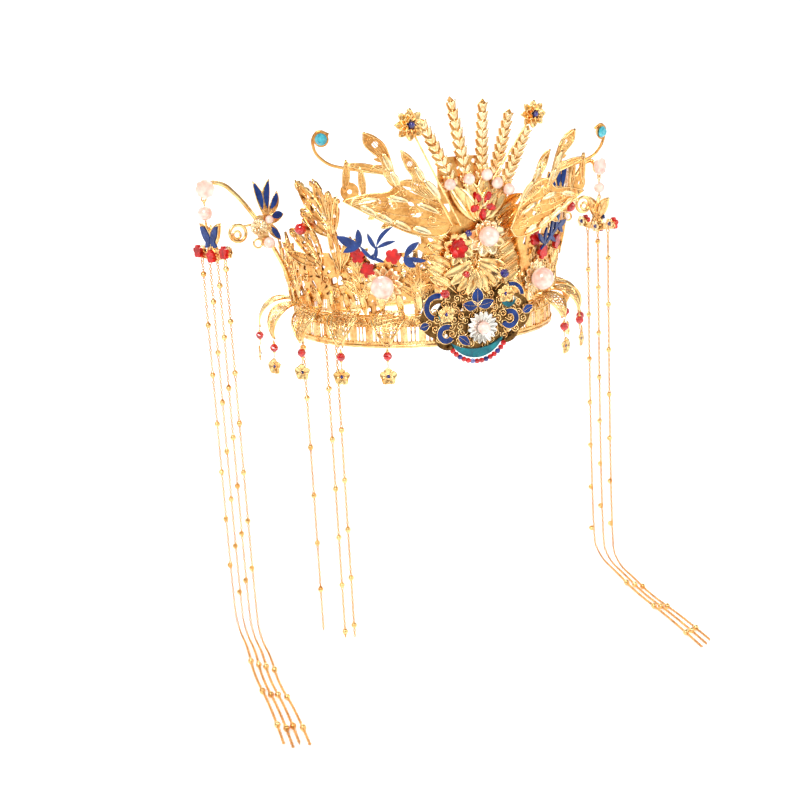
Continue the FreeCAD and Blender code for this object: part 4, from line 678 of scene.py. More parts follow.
class Repeater:
    """A geometry node group with named inputs, applied to a plain mesh.

    Args:
        name: the group's name.
        inputs: pairs of input name and socket type after Geometry.
    """

    def __init__(self, name, inputs):
        self.tree = bpy.data.node_groups.new(name, "GeometryNodeTree")
        self.tree.interface.new_socket("Geometry", in_out="INPUT", socket_type="NodeSocketGeometry")
        for label, kind in inputs:
            self.tree.interface.new_socket(label, in_out="INPUT", socket_type=kind)
        self.tree.interface.new_socket("Geometry", in_out="OUTPUT", socket_type="NodeSocketGeometry")
        self.given = self.node("NodeGroupInput")
        self.result = self.node("NodeGroupOutput")

    def node(self, kind, **settings):
        """Add a node with settings."""
        made = self.tree.nodes.new(kind)
        for name, value in settings.items():
            setattr(made, name, value)
        return made

    def link(self, source, target):
        """Join two sockets."""
        self.tree.links.new(source, target)

    def turned(self, points, step, rotation=None):
        """Place an object on points, each turned about z by its index times a step."""
        place = self.node("GeometryNodeInstanceOnPoints")
        info = self.node("GeometryNodeObjectInfo")
        self.link(self.given.outputs["Motif"], info.inputs["Object"])
        self.link(points, place.inputs["Points"])
        self.link(info.outputs["Geometry"], place.inputs["Instance"])
        if rotation:
            self.link(rotation, place.inputs["Rotation"])
        index = self.node("GeometryNodeInputIndex")
        times = self.node("ShaderNodeMath", operation="MULTIPLY")
        self.link(index.outputs[0], times.inputs[0])
        self.link(step, times.inputs[1])
        angles = self.node("ShaderNodeCombineXYZ")
        self.link(times.outputs[0], angles.inputs["Z"])
        turn = self.node("GeometryNodeRotateInstances")
        self.link(place.outputs["Instances"], turn.inputs["Instances"])
        self.link(angles.outputs[0], turn.inputs["Rotation"])
        real = self.node("GeometryNodeRealizeInstances")
        self.link(turn.outputs["Instances"], real.inputs["Geometry"])
        paint = self.node("GeometryNodeSetMaterial")
        self.link(real.outputs["Geometry"], paint.inputs["Geometry"])
        self.link(self.given.outputs["Material"], paint.inputs["Material"])
        self.link(paint.outputs["Geometry"], self.result.inputs["Geometry"])

    def apply(self, name, base, values):
        """Run the group on an object and keep the result as a plain mesh object."""
        modifier = base.modifiers.new(self.tree.name, "NODES")
        modifier.node_group = self.tree
        for item in self.tree.interface.items_tree:
            if item.in_out == "INPUT" and item.name in values:
                modifier[item.identifier] = values[item.name]
        graph = bpy.context.evaluated_depsgraph_get()
        graph.update()
        mesh = bpy.data.meshes.new_from_object(base.evaluated_get(graph), depsgraph=graph)
        mesh.name = name
        bpy.data.objects.remove(base)
        return bpy.data.objects.new(name, mesh)


def ring_repeater():
    """Copies a motif round the crown's axis."""
    group = Repeater("ring_repeat", (("Motif", "NodeSocketObject"), ("Count", "NodeSocketInt"),
                                     ("Step", "NodeSocketFloat"), ("Material", "NodeSocketMaterial")))
    line = group.node("GeometryNodeMeshLine")
    group.link(group.given.outputs["Count"], line.inputs["Count"])
    line.inputs["Offset"].default_value = (0.0, 0.0, 0.0)
    group.turned(line.outputs["Mesh"], group.given.outputs["Step"])
    return group


def link_repeater():
    """Copies a chain link along a curve, every second one turned a quarter."""
    group = Repeater("chain_links", (("Motif", "NodeSocketObject"), ("Pitch", "NodeSocketFloat"),
                                     ("Step", "NodeSocketFloat"), ("Material", "NodeSocketMaterial")))
    points = group.node("GeometryNodeCurveToPoints", mode="LENGTH")
    group.link(group.given.outputs["Geometry"], points.inputs["Curve"])
    group.link(group.given.outputs["Pitch"], points.inputs["Length"])
    group.turned(points.outputs["Points"], group.given.outputs["Step"], points.outputs["Rotation"])
    return group


def motif(name, form):
    """A hidden object that the repeaters copy."""
    mesh = bpy.data.meshes.new(name)
    mesh.from_pydata([vertex * MM for vertex in form.vertices], [], form.faces)
    mesh.polygons.foreach_set("use_smooth", [not flat for flat in form.flat])
    made = bpy.data.objects.new(name, mesh)
    bpy.context.scene.collection.objects.link(made)
    return made


def repeat_round(name, form, count, finish):
    """A form repeated round the crown, as one piece."""
    source = motif(name + "_motif", form)
    base = bpy.data.objects.new(name + "_base", bpy.data.meshes.new(name + "_base"))
    bpy.context.scene.collection.objects.link(base)
    made = ring_repeater().apply(name, base, {
        "Motif": source, "Count": count, "Step": 2.0 * math.pi / count, "Material": PAINTS[finish]})
    bpy.data.objects.remove(source)
    return ride(made, finish)


# Chains

LINK_LENGTH = 2.15
LINK_WIDTH = 1.8
LINK_WIRE = 0.29
LINK_PITCH = 1.45


def link_form():
    """One oval wire link, long in z."""
    form = Form()
    rows = []
    steps = 10
    sides = 5
    for step in range(steps):
        turn = 2.0 * math.pi * step / steps
        out = Vector((math.cos(turn), 0.0, math.sin(turn)))
        centre = Vector((out.x * (LINK_WIDTH / 2 - LINK_WIRE), 0.0, out.z * (LINK_LENGTH / 2 - LINK_WIRE)))
        for side in range(sides):
            angle = 2.0 * math.pi * side / sides
            reach = out * math.cos(angle) + Vector((0.0, 1.0, 0.0)) * math.sin(angle)
            rows.append(centre + reach * LINK_WIRE)
    faces = []
    for step in range(steps):
        for side in range(sides):
            first = step * sides + side
            second = step * sides + (side + 1) % sides
            after = ((step + 1) % steps) * sides
            faces.append((first, second, after + (side + 1) % sides, after + side))
    form.add(rows, faces)
    return form


def strand_points(tassel, strand):
    """A strand's route, as the solid's: down, and forward along the table."""
    top = head_place(tassel) @ Vector((strand.offset * STRAND_SPREAD, STRAND_TOP, 0.0))
    floor = FLOOR + BALL_RADIUS
    end = Vector((strand.end_x, TASSEL_Y - LYING_LENGTH - strand.end_y, floor))
    foot = Vector((top.x, top.y, floor))
    reach = end - foot
    sway = Vector((-reach.y, reach.x, 0.0)).normalized()
    return [top, foot + Vector((0.0, 0.0, 14.0)), foot + reach * 0.09 + Vector((0.0, 0.0, 2.5)),
            foot + reach * 0.24 + sway * 1.5, foot + reach * 0.48 - sway, foot + reach * 0.75 + sway, end]


def head_place(tassel):
    """A tassel head's plane at the end of its arm."""
    return facing(tassel.facing, Vector((tassel.side * TASSEL_X, TASSEL_Y, tassel.lift)))


def hanging_balls(top, foot, first):
    """Ball centres at an even pitch down a straight run."""
    run = foot - top
    count = int((run.length - BALL_RADIUS - first) / BALL_PITCH) + 1
    return [top + run.normalized() * (first + BALL_PITCH * index) for index in range(count)]


def chain_piece(name, points, balls, node, repeater, source):
    """Links along a smooth curve, with a ball at each centre."""
    curve = bpy.data.curves.new(name + "_line", "CURVE")
    curve.dimensions = "3D"
    curve.resolution_u = 24
    spline = curve.splines.new("NURBS")
    spline.points.add(len(points) - 1)
    for target, point in zip(spline.points, points):
        target.co = (*(point * MM), 1.0)
    spline.use_endpoint_u = True
    spline.order_u = min(3, len(points))
    base = bpy.data.objects.new(name + "_line", curve)
    bpy.context.scene.collection.objects.link(base)
    # The links are in the shaded gold, a darker copy painted as shade.
    links = repeater.apply(name + "_links", base, {
        "Motif": source, "Pitch": LINK_PITCH * MM, "Step": math.pi / 2, "Material": PAINTS[Finish.SHADED]})
    ride(links, Finish.GOLD, [node])
    form = Form(finish=Finish.GOLD)
    for ball in balls:
        form.bead(ball, BALL_RADIUS, 12, 8, smooth=True)
    form.piece(name + "_balls", node)


def build_chains():
    """Every side chain and tassel strand."""
    repeater = link_repeater()
    source = motif("link_motif", link_form())
    for index, chain in enumerate(SIDE_CHAINS):
        place = site(chain.angle, chain.radius, 0.0)
        top = place @ Vector((0.0, chain.top, 0.0))
        foot = place @ Vector((0.0, FLOOR + CHAIN_RADIUS + chain.foot, 0.0))
        chain_piece(f"side_chain_{index + 1}_fine", [top, foot], hanging_balls(top, foot, chain.first_ball),
                    f"side_chain_{index + 1}", repeater, source)
    for side, tassel in TASSELS:
        for index, strand in enumerate(tassel.strands):
            points = strand_points(tassel, strand)
            balls = hanging_balls(points[0], points[1], strand.ball_start)
            balls += [(first + second) / 2 for first, second in zip(points[3:], points[4:])]
            node = f"tassel_strand_{side}_{index + 1}"
            chain_piece(node + "_fine", points, balls, node, repeater, source)
    bpy.data.objects.remove(source)


# Band and leaves

def build_band():
    """Fan-shaped net and beaded rims on the band."""
    net = Form(place=site(180.0 / BAND_SLOTS, RING_RADIUS + 0.1, 0.0))
    foot = Vector((0.0, NET_FOOT, 0.0))
    for angle in (20, 45, 68, 90, 112, 135, 160):
        turn = math.radians(angle)
        rib = Vector((NET_REACH * math.cos(turn), NET_REACH * math.sin(turn), 0.25))
        net.tube([foot, foot + rib], 0.26, 4)
    for x in (-0.95, 0.95):
        net.tube([(x, 3.0, -0.6), (x, 11.0, -0.6)], 0.42, 4)
    net.tube(arc_points(Spot(0.0, NET_FOOT, NET_REACH), 0.2, 10, 170, 10), 0.34, 5)
    repeat_round("band_net", net, BAND_SLOTS, Finish.GOLD)
    for name, height in (("band_beads_low", 3.0), ("band_beads_high", 10.9)):
        beads = Form(place=site(0.0, RING_RADIUS + 0.15, height))
        beads.bead((0.0, 0.0, 0.0), 0.5, 8, 5, smooth=True)
        repeat_round(name, beads, RIM_BEADS, Finish.GOLD)


def leaf_surface(leaf):
    """The arched leaf's surface as a function of along and across.

    Returns:
        A function from (share along, -1 to 1 across) to a point on the ring's site.
    """
    root = Vector((RING_RADIUS - 1.0, BAND_HEIGHT + 1.3))
    crest = Vector((RING_RADIUS + 0.55 * leaf.reach, BAND_HEIGHT + 2.6))
    tip = Vector((RING_RADIUS + leaf.reach, BAND_HEIGHT - leaf.drop))
    first = crest - root
    second = tip - root
    cross = 2.0 * (first.x * second.y - first.y * second.x)
    centre = root + Vector((second.y * first.length_squared - first.y * second.length_squared,
                            first.x * second.length_squared - second.x * first.length_squared)) / cross
    radius = (root - centre).length
    start = math.atan2(root.y - centre.y, root.x - centre.x)
    end = math.atan2(tip.y - centre.y, tip.x - centre.x)
    chord = tip - root
    length = chord.length

    def surface(share, across):
        turn = start + (end - start) * share
        spot = centre + Vector((math.cos(turn), math.sin(turn))) * (radius - 0.4)
        along = (spot - root).dot(chord) / length
        t = min(max((along + 0.08 * length) / (1.08 * length + 0.4), 0.0), 1.0)
        return Vector((across * 8.0 * 4.0 * t * (1.0 - t), spot.y, spot.x))

    return surface


def build_leaves():
    """Net leaves of ribs and slanting wires, which stand for the pierced solids."""
    for side, leaves in LEAVES:
        form = Form(finish=Finish.GOLD)
        for leaf in leaves:
            form.place = site(leaf.angle, 0.0, 0.0)
            surface = leaf_surface(leaf)
            for across in (-1.0, 1.0):
                form.tube([surface(step / 14, across) for step in range(15)], 0.62, 6)
            for across in (-0.7, -0.35, 0.0, 0.35, 0.7):
                form.tube([surface(0.02 + 0.93 * step / 12, across) for step in range(13)], 0.42, 5, 0.8)
            for index in range(13):
                start = -0.06 + 0.075 * index
                for sign in (-1.0, 1.0):
                    row = [surface(min(max(start + 0.13 * step / 6, 0.0), 1.0), sign * (-1.0 + step / 3))
                           for step in range(7)]
                    form.tube(row, 0.27, 4)
        form.piece(f"leaf_net_{side}", f"mesh_leaves_{side}")


def drop_parts(form, top, turn):
    """A drop's wire, ring, caps and cupped flower below a point."""
    form.place = facing(turn, top)
    form.finish = Finish.GOLD
    form.tube([(0, -0.4, 0.0), (0, -9.8, 0.0)], 0.3, 5)
    form.scroll((0.0, -1.25), 0.7, 0.0, 1.0, 0.0, 0.22)
    for height in (DROP_BEAD_HEIGHT + DROP_BEAD_RADIUS - 0.05, DROP_BEAD_HEIGHT - DROP_BEAD_RADIUS - 0.05):
        form.bead((0.0, height, 0.0), 0.8, 8, 4, smooth=True)
    flower = Spot(0.0, -14.4, 4.6)
    form.bloom(flower, 5, 4.4, 0.35, (0.5, 0.5, 0.5, 0.55, 5), turn=90)
    form.tube(arc_points(flower._replace(radius=1.25), 0.7, 0, 360, 12), 0.3, 5)
    form.finish = Finish.NAVY
    form.bead((flower.x, flower.y, 0.4), 0.85, 8, 5, 1.0)


def leaf_drop_top(leaf):
    """Where a leaf's drop hangs."""
    tip = Vector((0.0, BAND_HEIGHT - leaf.drop - 0.1, RING_RADIUS + leaf.reach + 0.1))
    return site(leaf.angle, 0.0, 0.0) @ tip


def hang_drops(drop_node, bead_node, rows):
    """Drops and their faceted beads; a row is a hanging point, a turn and a finish."""
    wires = Form()
    beads = Form()
    for top, turn, finish in rows:
        drop_parts(wires, top, turn)
        beads.finish = finish
        beads.bead(top + Vector((0.0, 0.0, DROP_BEAD_HEIGHT)), DROP_BEAD_RADIUS, 10, 6)
    wires.piece(drop_node + "_fine", drop_node)
    beads.piece(bead_node + "_cut", bead_node)


def build_drops():
    """The drops at the leaf tips and the two in front."""
    for side, leaves in LEAVES:
        rows = [(leaf_drop_top(leaf), leaf.turn, Finish.RED_STONE) for leaf in leaves]
        hang_drops(f"leaf_drops_{side}", f"drop_beads_{side}", rows)
    place = site(0.0, FRONT_RADIUS, 0.0)
    tops = [place @ Vector((row.x, row.y, 0.0)) for row in FRONT_DROPS]
    hang_drops("front_drops", "front_drop_beads",
               [(top, 0.0, finish) for top, finish in zip(tops, (Finish.RED_STONE, Finish.NAVY))])


# Walls, wings and sprays

def frond_blades(row):
    """The lobes of an acanthus leaf, as the solid's."""
    blades = [Blade(0.0, 0.0, 0.0, row.height, 7.0 * row.size, 0.0)]
    for index in range(3):
        foot = row.height * (0.18 + 0.2 * index)
        reach = (10.5 - 1.8 * index) * row.size
        rise = (9.0 + index) * row.size
        width = (4.6 - 0.4 * index) * row.size
        blades.append(Blade(0.0, foot, reach, foot + rise, width, 0.6))
        blades.append(Blade(0.0, foot, -reach, foot + rise, width, -0.6))
    return blades


def build_walls():
    """Raised rims, ribs and curls over the side walls."""
    for side, right in SIDES:
        form = Form()
        for row in FRONDS:
            form.place = sided(wall_site(row.angle), right)
            for blade in frond_blades(row):
                form.rimmed(blade, WALL_TOP, 0.38, 4)
        form.place = sided(wall_site(OAK_ANGLE), right)
        for blade in OAK_BLADES:
            form.rimmed(blade, WALL_TOP, 0.42, 4)
        for index in range(20):
            angle = -20.0 - 4.2 * index
            form.place = sided(wall_site(angle), right)
            height = (8.0, 15.0, 21.0)[index % 3]
            size = 3.0 - 0.3 * (index % 3)
            form.scroll((0.0, height), size, 70.0 * index, either_way(index, 1.5), 1.25, 0.38, 3.0)
        for index in range(11):
            form.place = sided(wall_site(-24.0 - 7.4 * index), right)
            form.petal(Blade(0, 9.0, 1.5, -1.4 - 1.8 * (index % 2), 3.6, 0.5), 1.5, 0.6, 0.3, 0.4, 0.6)
        angle, height = PEARL_SPOT[side]
        form.place = sided(wall_site(angle), right)
        form.finish = Finish.PALE
        form.bloom(Spot(0.0, height, 9.4), 12, 4.4, 2.3, (1.4, 0.3, 0.6, 0.5))
        form.piece(f"wall_relief_{side}")


def build_wings():
    """Rims, barbs and ribs on the wings."""
    for side, right in SIDES:
        pose = WING_POSE[side]
        form = Form(place=sided(site(WING_ANGLE, WING_RADIUS, WALL_BASE + pose.lift, pose.lean), right))
        top = WING_LOW + 1.05
        for upper, lower in WING_SHAPES:
            first = smooth_line([(x, y, top) for x, y in upper])
            second = smooth_line([(x, y, top) for x, y in lower])
            if len(first) != len(second):
                second = second[:len(first)]
            form.tube(first, 0.5, 6)
            form.tube(second, 0.5, 6)
            for share in (0.17, 0.33, 0.5, 0.67, 0.83):
                row = [a.lerp(b, share) for a, b in zip(first[2:-3], second[2:-3])]
                form.tube(row, 0.42, 6, 0.4)
        for blade in WING_BLADES:
            form.rimmed(blade, top, 0.42, 3)
        for index, spot in enumerate(WING_CURLS):
            form.scroll((spot.x, spot.y), spot.radius, 60.0 * index, either_way(index, 1.3), top, 0.38, 2.4)
        form.finish = Finish.PALE
        for blade in WING_BARBS:
            form.petal(blade, top, 0.5, 0.4, 0.5, 0.5, 5)
        form.piece(f"wing_relief_{side}")


# Centre

def build_fan():
    """Ribs and barbs on the five feathers, flutes on their root."""
    form = Form(place=site(0.0, FAN_RADIUS, WALL_BASE, FAN_LEAN), finish=Finish.PALE)
    top = 2.25
    for row in EARS:
        root = Vector((row.root_x, row.root_y, top))
        run = Vector((row.tip_x, row.tip_y, top)) - root
        length = run.length
        run.normalize()
        side = Vector((-run.y, run.x, 0.0))
        form.tube([root, root + run * (length * 0.98)], 0.55, 6, 0.5)
        tooth = length / (EAR_TEETH + 0.6)
        for index in range(EAR_TEETH):
            half = EAR_WIDTH / 2 * (1.0 - 0.45 * (index / EAR_TEETH) ** 3)
            for sign in (-1.0, 1.0):
                foot = root + run * (tooth * index)
                tip = root + run * (tooth * (index + 1.2)) + side * (sign * half * 0.96)
                blade = Blade(foot.x, foot.y, tip.x, tip.y, 1.9, -0.6 * sign)
                form.petal(blade, top + 0.1, 0.6, 0.3, 0.25, 0.5, 4)
    form.finish = Finish.GOLD
    for row in FAN_PEARLS:
        flute = Blade(2.0, 40.0, row.x, row.y + 1.0, 8.5, 0.0)
        form.petal(flute, top + 0.3, 0.2, 1.4, 0.9, 0.8)
        form.rimmed(flute, top + 0.9, 0.4)
        form.bloom(row._replace(radius=4.2), 6, 2.6, top + 0.3, (0.8, 0.2, 0.3, 0.4, 4))
    for bead in arc_points(CRYSTAL_FLOWER._replace(radius=3.4), 4.3, -54, 234, 4):
        form.bead(bead, 0.6, 8, 5, smooth=True)
    form.finish = Finish.PALE
    form.bead((CRYSTAL_FLOWER.x, CRYSTAL_FLOWER.y, 4.4), 1.2, 8, 5)
    form.piece("fan_relief")


def build_centre():
    """Petals round the large pearl and the red cup, and curls below them."""
    form = Form(place=site(0.0, FAN_RADIUS, WALL_BASE, FAN_LEAN), finish=Finish.PALE)
    for index in range(9):
        turn = math.radians(40 * index + 12)
        reach = 10.5 if math.sin(turn) < 0.5 else 8.0
        tip = (CENTRE_PEARL.x + reach * math.cos(turn), CENTRE_PEARL.y + reach * math.sin(turn))
        form.petal(Blade(CENTRE_PEARL.x, CENTRE_PEARL.y, tip[0], tip[1], 6.4, 0.3), 2.6, 2.6, 0.6, 0.8, 0.6)
    form.finish = Finish.GOLD
    form.bloom(RED_CUP._replace(radius=8.4), 8, 5.4, 2.6, (2.4, 0.5, 0.7, 0.6), turn=20, bend=0.3)
    for index, spot in seed_spots(46, 2.5, 16.0, 1.15, 0.95):
        if abs(spot[0]) < 17.5 and 2.0 < spot[1] < 34.0:
            low = 1.5 + 0.25 * (index % 3)
            form.scroll(spot, 2.7, GOLDEN_ANGLE * index, either_way(index, 1.3), low, 0.42, 2.2)
    for index in range(9):
        turn = math.radians(200 + 17.5 * index)
        root = (0.8 * math.cos(turn), 24.0 + 6.0 * math.sin(turn))
        tip = (19.0 * math.cos(turn), 22.0 + 18.0 * math.sin(turn))
        form.petal(Blade(root[0], root[1], tip[0], tip[1], 5.0, 0.6), 2.0, 1.2, 0.9, 0.6, 0.6)
    for side, count in ((1.0, 8), (-1.0, 5)):
        for index in range(count):
            height = 10.0 + 5.2 * index
            reach = side * (25.0 + 2.0 * math.sin(0.9 * index))
            leaf = Blade(side * 10.0, height - 4.0, reach, height + 6.0, 6.0, 0.8 * side)
            form.petal(leaf, 1.4, 0.6, 0.8, 0.6, 0.6)
            form.rimmed(leaf, 2.6, 0.32, 2)
    form.finish = Finish.RED
    form.bloom(RED_CUP._replace(radius=4.9), 6, 4.6, 3.0, (2.6, -0.3, 0.3, 0.6))
    form.piece("centre_relief", "red_cup_flower")


def build_stems():
    """Layered flowers on their stems."""
    for name, row, radius in (("left", STEM_LEFT, 7.6), ("right", STEM_RIGHT, 6.6)):
        form = Form(place=site(0.0, FAN_RADIUS, WALL_BASE, FAN_LEAN))
        for layer, (share, count, low) in enumerate(((1.0, 8, 6.2), (0.72, 8, 7.1), (0.42, 6, 7.8))):
            reach = radius * share
            form.bloom(Spot(row.tip_x, row.tip_y, reach), count, 0.56 * reach, low,
                       (1.2 + 0.6 * layer, 0.4, 0.7, 0.5), turn=22.5 * layer, bend=0.2)
        form.piece(f"stem_flower_{name}_fine")


def build_plaque():
    """Curls, gold rims, daisy petals and fringe beads of the plaque."""
    form = Form(place=site(0.0, PLAQUE_RADIUS, PLAQUE_HEIGHT))
    for index, spot in seed_spots(90, 2.9, 8.0, 1.05, 0.62):
        if (spot[0] / 27.0) ** 2 + ((spot[1] - 8.5) / 14.5) ** 2 < 1.0:
            form.scroll(spot, 2.1, GOLDEN_ANGLE * index, either_way(index, 1.4), 1.35, 0.34, 1.2)
    for blade in BLUE_TREFOIL:
        form.rimmed(blade._replace(width=blade.width + 0.7), PLAQUE_TOP, 0.26, rib=0.12)
    for band in BLUE_BANDS:
        for radius in (band.inner, band.outer):
            rim = arc_points(Spot(band.x, band.y, radius), PLAQUE_TOP, band.start, band.end, 16)
            form.tube(rim, 0.28, 5)
    form.piece("plaque_relief")
    daisy = Form(place=form.place, finish=Finish.SILVER)
    daisy.bloom(DAISY._replace(radius=8.3), 16, 2.5, 3.9, (0.7, 0.2, 0.5, 0.5), turn=6, inner=2.6)
    daisy.piece("daisy_petals")
    beads = Form(place=form.place, finish=Finish.RED_STONE)
    stones = {"r": Finish.RED_STONE, "b": Finish.NAVY, "c": Finish.CLEAR}
    places = arc_points(FRINGE_CENTRE, FRINGE_OUT, FRINGE_FIRST, FRINGE_LAST, len(FRINGE_ORDER) - 1)
    for letter, place in zip(FRINGE_ORDER, places):
        beads.finish = stones[letter]
        beads.bead(place, 1.4, 10, 6)
    beads.piece("fringe_beads_cut", "fringe_beads")


def build_crests():
    """Rims and barbs of the side crests."""
    for side, right in SIDES:
        form = Form(place=sided(site(0.0, -CREST_Y, 0.0), right))
        for blade in CREST_PLATES:
            form.rimmed(blade, 1.45, 0.34)
        form.finish = Finish.PALE
        form.bloom(CREST_ROSETTE, 9, 3.2, 3.9, (0.5, 0.2, 0.4, 0.5, 5))
        form.piece(f"crest_relief_{side}")


HEAD_BLADES = (
    Blade(0.0, 51.0, -9.4, 63.4, 7.0, -0.8), Blade(0.0, 51.0, 8.2, 63.8, 6.4, 0.8),
    Blade(0.0, 54.5, -4.6, 45.4, 4.8, 0.6), Blade(0.0, 54.5, 5.2, 46.0, 4.4, -0.6),
    Blade(-14.6, 47.2, 14.6, 47.2, 4.2, 0.0))
HEAD_BLOOMS = (Spot(-12.0, 49.0, 3.5), Spot(0.2, 47.0, 3.5), Spot(12.4, 49.4, 3.5))


def build_heads():
    """Gold rims on both faces of the tassel heads, and blooms on their backs."""
    for side, tassel in TASSELS:
        form = Form(place=head_place(tassel))
        for blade in HEAD_BLADES:
            form.rimmed(blade, 0.55, 0.32)
            form.rimmed(blade, -0.75, 0.36, 3)
        form.finish = Finish.PALE
        for bloom in HEAD_BLOOMS:
            form.bloom(bloom, 6, 3.0, -0.6, (-1.0, -0.3, 0.3, 0.4, 4))
        form.finish = Finish.NAVY
        for bloom in HEAD_BLOOMS:
            form.bead((bloom.x, bloom.y, -1.5), 1.2, 8, 5)
        form.piece(f"head_relief_{side}")


# Materials on the solids, scene

# The centre plate and feather fan are in shaded gold: painted shade on the sheets behind the relief.
NODE_FINISH = {
    "base_band": Finish.GOLD, "centre_plate": Finish.SHADED, "feather_fan": Finish.SHADED,
    "fan_pearls": Finish.PEARL, "crystal_flower": Finish.RED_STONE, "centre_pearl": Finish.PEARL,
    # The plaque backing's near-black gold is painted shade between the curls.
    "flower_hearts": Finish.NAVY, "plaque_backing": Finish.ANTIQUE, "plaque_enamel_blue": Finish.BLUE,
    "plaque_enamel_teal": Finish.TEAL, "plaque_daisy": Finish.SILVER, "daisy_pearl": Finish.PEARL,
    "wall_beads": Finish.RED_STONE}
SIDE_FINISH = {
    # The side walls' pierced gold is darker gold painted as shade behind the relief.
    "side_wall": Finish.PIERCED, "big_pearl": Finish.PEARL, "enamel_spray": Finish.BLUE,
    # The wings' shaded gold is painted shade on the sheets behind the relief.
    "spray_flowers": Finish.RED, "wing": Finish.SHADED, "wing_crystal": Finish.CRYSTAL,
    "crest_enamel": Finish.BLUE, "side_stones": Finish.PEARL, "butterfly": Finish.BLUE,
    "tassel_flowers": Finish.RED}
FACETED = ("crystal_flower", "wing_crystal")


def paint_nodes():
    """Give each shown solid its material and soft shading where it is round."""
    for name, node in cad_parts.items():
        stem = name.rsplit("_", 1)[0]
        finish = NODE_FINISH.get(name) or SIDE_FINISH.get(stem) or Finish.GOLD
        node.data.materials.clear()
        node.data.materials.append(PAINTS[finish])
        if not name.startswith(FACETED):
            node.data.shade_smooth()
            node.data.set_sharp_from_angle(angle=math.radians(35))


CAMERA_AZIMUTH = -20.59
CAMERA_ELEVATION = 13.61
CAMERA_ROLL = -2.98
CAMERA_DISTANCE = 641.3
CAMERA_TARGET = Vector((-16.1, 0.0, -41.5))
FOCAL_PIXELS = 1150.9
FRAME_PIXELS = 800.0
SENSOR = 36.0
LAMPS = (Lamp("key", (-0.7, -0.9, 0.9), 13.0), Lamp("fill", (0.9, -0.7, 0.4), 4.0),
         Lamp("rim", (0.1, 0.9, 0.9), 10.0))
LAMP_SIZE = 0.5
PATCH_SCALE = 2.6
PATCH_EDGE = (0.44, 0.54)
HORIZON_EDGE = (0.16, 0.32)
DIM_LIGHT = 0.03
PALE_LIGHT = 0.62
SWEEP_REACH = 3.0
SWEEP_BACK = 0.7
SWEEP_BEND = 0.6


def make_camera():
    """The camera at the photograph's viewing angle."""
    azimuth = math.radians(CAMERA_AZIMUTH)
    elevation = math.radians(CAMERA_ELEVATION)
    back = Vector((math.sin(azimuth) * math.cos(elevation), -math.cos(azimuth) * math.cos(elevation),
                   math.sin(elevation)))
    right = (-back).cross(Vector((0.0, 0.0, 1.0))).normalized()
    up = right.cross(-back)
    roll = math.radians(CAMERA_ROLL)
    turned_right = right * math.cos(roll) + up * math.sin(roll)
    turned_up = up * math.cos(roll) - right * math.sin(roll)
    data = bpy.data.cameras.new("camera")
    data.sensor_width = SENSOR
    data.lens = FOCAL_PIXELS * SENSOR / FRAME_PIXELS
    data.clip_start = 0.01
    camera = bpy.data.objects.new("camera", data)
    bpy.context.scene.collection.objects.link(camera)
    turn = Matrix((turned_right, turned_up, back)).transposed().to_4x4()
    camera.matrix_world = Matrix.Translation((CAMERA_TARGET + back * CAMERA_DISTANCE) * MM) @ turn
    bpy.context.scene.camera = camera


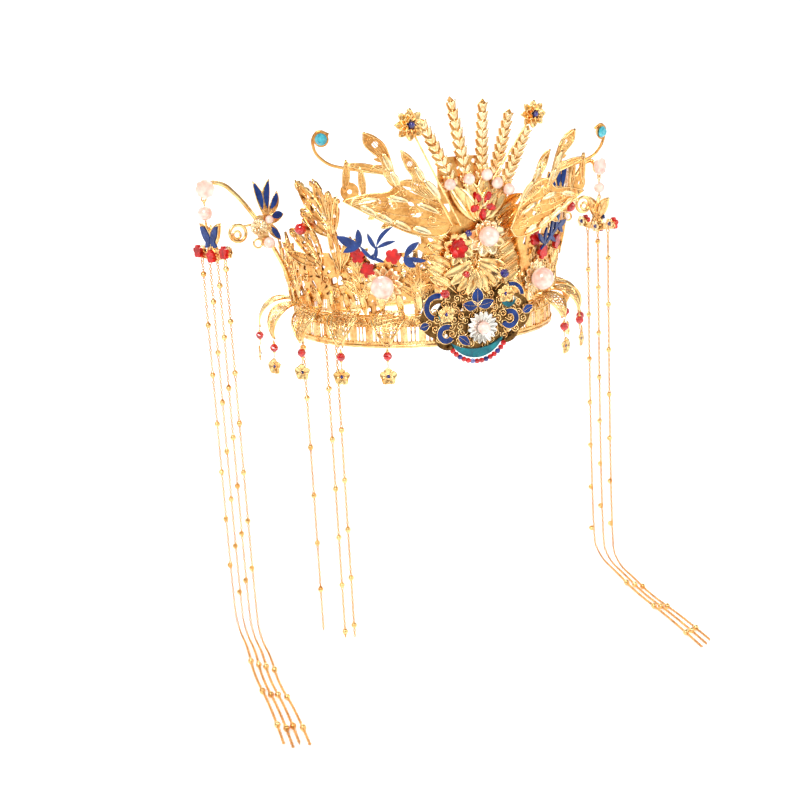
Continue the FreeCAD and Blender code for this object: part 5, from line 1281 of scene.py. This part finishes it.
def make_floor():
    """Plain floor that curves up behind."""
    mesh = bpy.data.meshes.new("floor")
    low = FLOOR * MM
    bends = [math.radians(7.5 * step) for step in range(13)]
    sweep = [(-SWEEP_REACH, low)]
    sweep += [(SWEEP_BACK + SWEEP_BEND * math.sin(turn), low + SWEEP_BEND * (1.0 - math.cos(turn)))
              for turn in bends]
    sweep.append((SWEEP_BACK + SWEEP_BEND, SWEEP_REACH))
    rows = [(side * SWEEP_REACH, y, z) for y, z in sweep for side in (-1.0, 1.0)]
    faces = [(2 * index, 2 * index + 1, 2 * index + 3, 2 * index + 2) for index in range(len(sweep) - 1)]
    mesh.from_pydata(rows, [], faces)
    mesh.polygons.foreach_set("use_smooth", [True] * len(faces))
    mesh.materials.append(PAINTS[Finish.FLOOR])
    floor = bpy.data.objects.new("floor", mesh)
    bpy.context.scene.collection.objects.link(floor)


def make_world():
    """Surroundings with soft light patches above a pale horizon."""
    world = bpy.data.worlds.new("studio")
    world.use_nodes = True
    tree = world.node_tree
    light_boxes = tree.nodes.new("ShaderNodeTexNoise")
    light_boxes.inputs["Scale"].default_value = PATCH_SCALE
    light_boxes.inputs["Detail"].default_value = 0.0
    direction = tree.nodes.new("ShaderNodeTexCoord").outputs["Generated"]
    tree.links.new(direction, light_boxes.inputs["Vector"])
    parts = tree.nodes.new("ShaderNodeSeparateXYZ")
    tree.links.new(direction, parts.inputs["Vector"])
    horizon = Term(tree, parts.outputs["Z"]).ramp(*HORIZON_EDGE, PALE_LIGHT, 0.0)
    patches = Term(tree, light_boxes.outputs["Fac"]).ramp(*PATCH_EDGE, DIM_LIGHT, PALE_LIGHT)
    shade = patches.most(horizon)
    tree.links.new(shade.socket, tree.nodes["Background"].inputs["Strength"])
    tree.nodes["Background"].inputs["Color"].default_value = (1.0, 0.985, 0.965, 1.0)
    bpy.context.scene.world = world
    bpy.context.scene.view_settings.view_transform = "Standard"


def make_lamps():
    """Soft lamps that face the crown."""
    for lamp in LAMPS:
        data = bpy.data.lights.new(lamp.name, "AREA")
        data.energy = lamp.power
        data.size = LAMP_SIZE
        light = bpy.data.objects.new(lamp.name, data)
        light.location = lamp.spot
        light.rotation_mode = "QUATERNION"
        light.rotation_quaternion = (-Vector(lamp.spot)).to_track_quat("-Z", "Y")
        bpy.context.scene.collection.objects.link(light)


PAINTS = {}


def main():
    """Build every piece of the scene."""
    logging.basicConfig(level=logging.INFO)
    PAINTS.update(make_paints())
    make_camera()
    make_floor()
    make_world()
    make_lamps()
    paint_nodes()
    for build in (build_chains, build_band, build_leaves, build_drops, build_walls, build_wings, build_fan,
                  build_centre, build_stems, build_plaque, build_crests, build_heads):
        build()
        LOG.info("%s done", build.__name__)


if __name__ == "__main__":
    main()
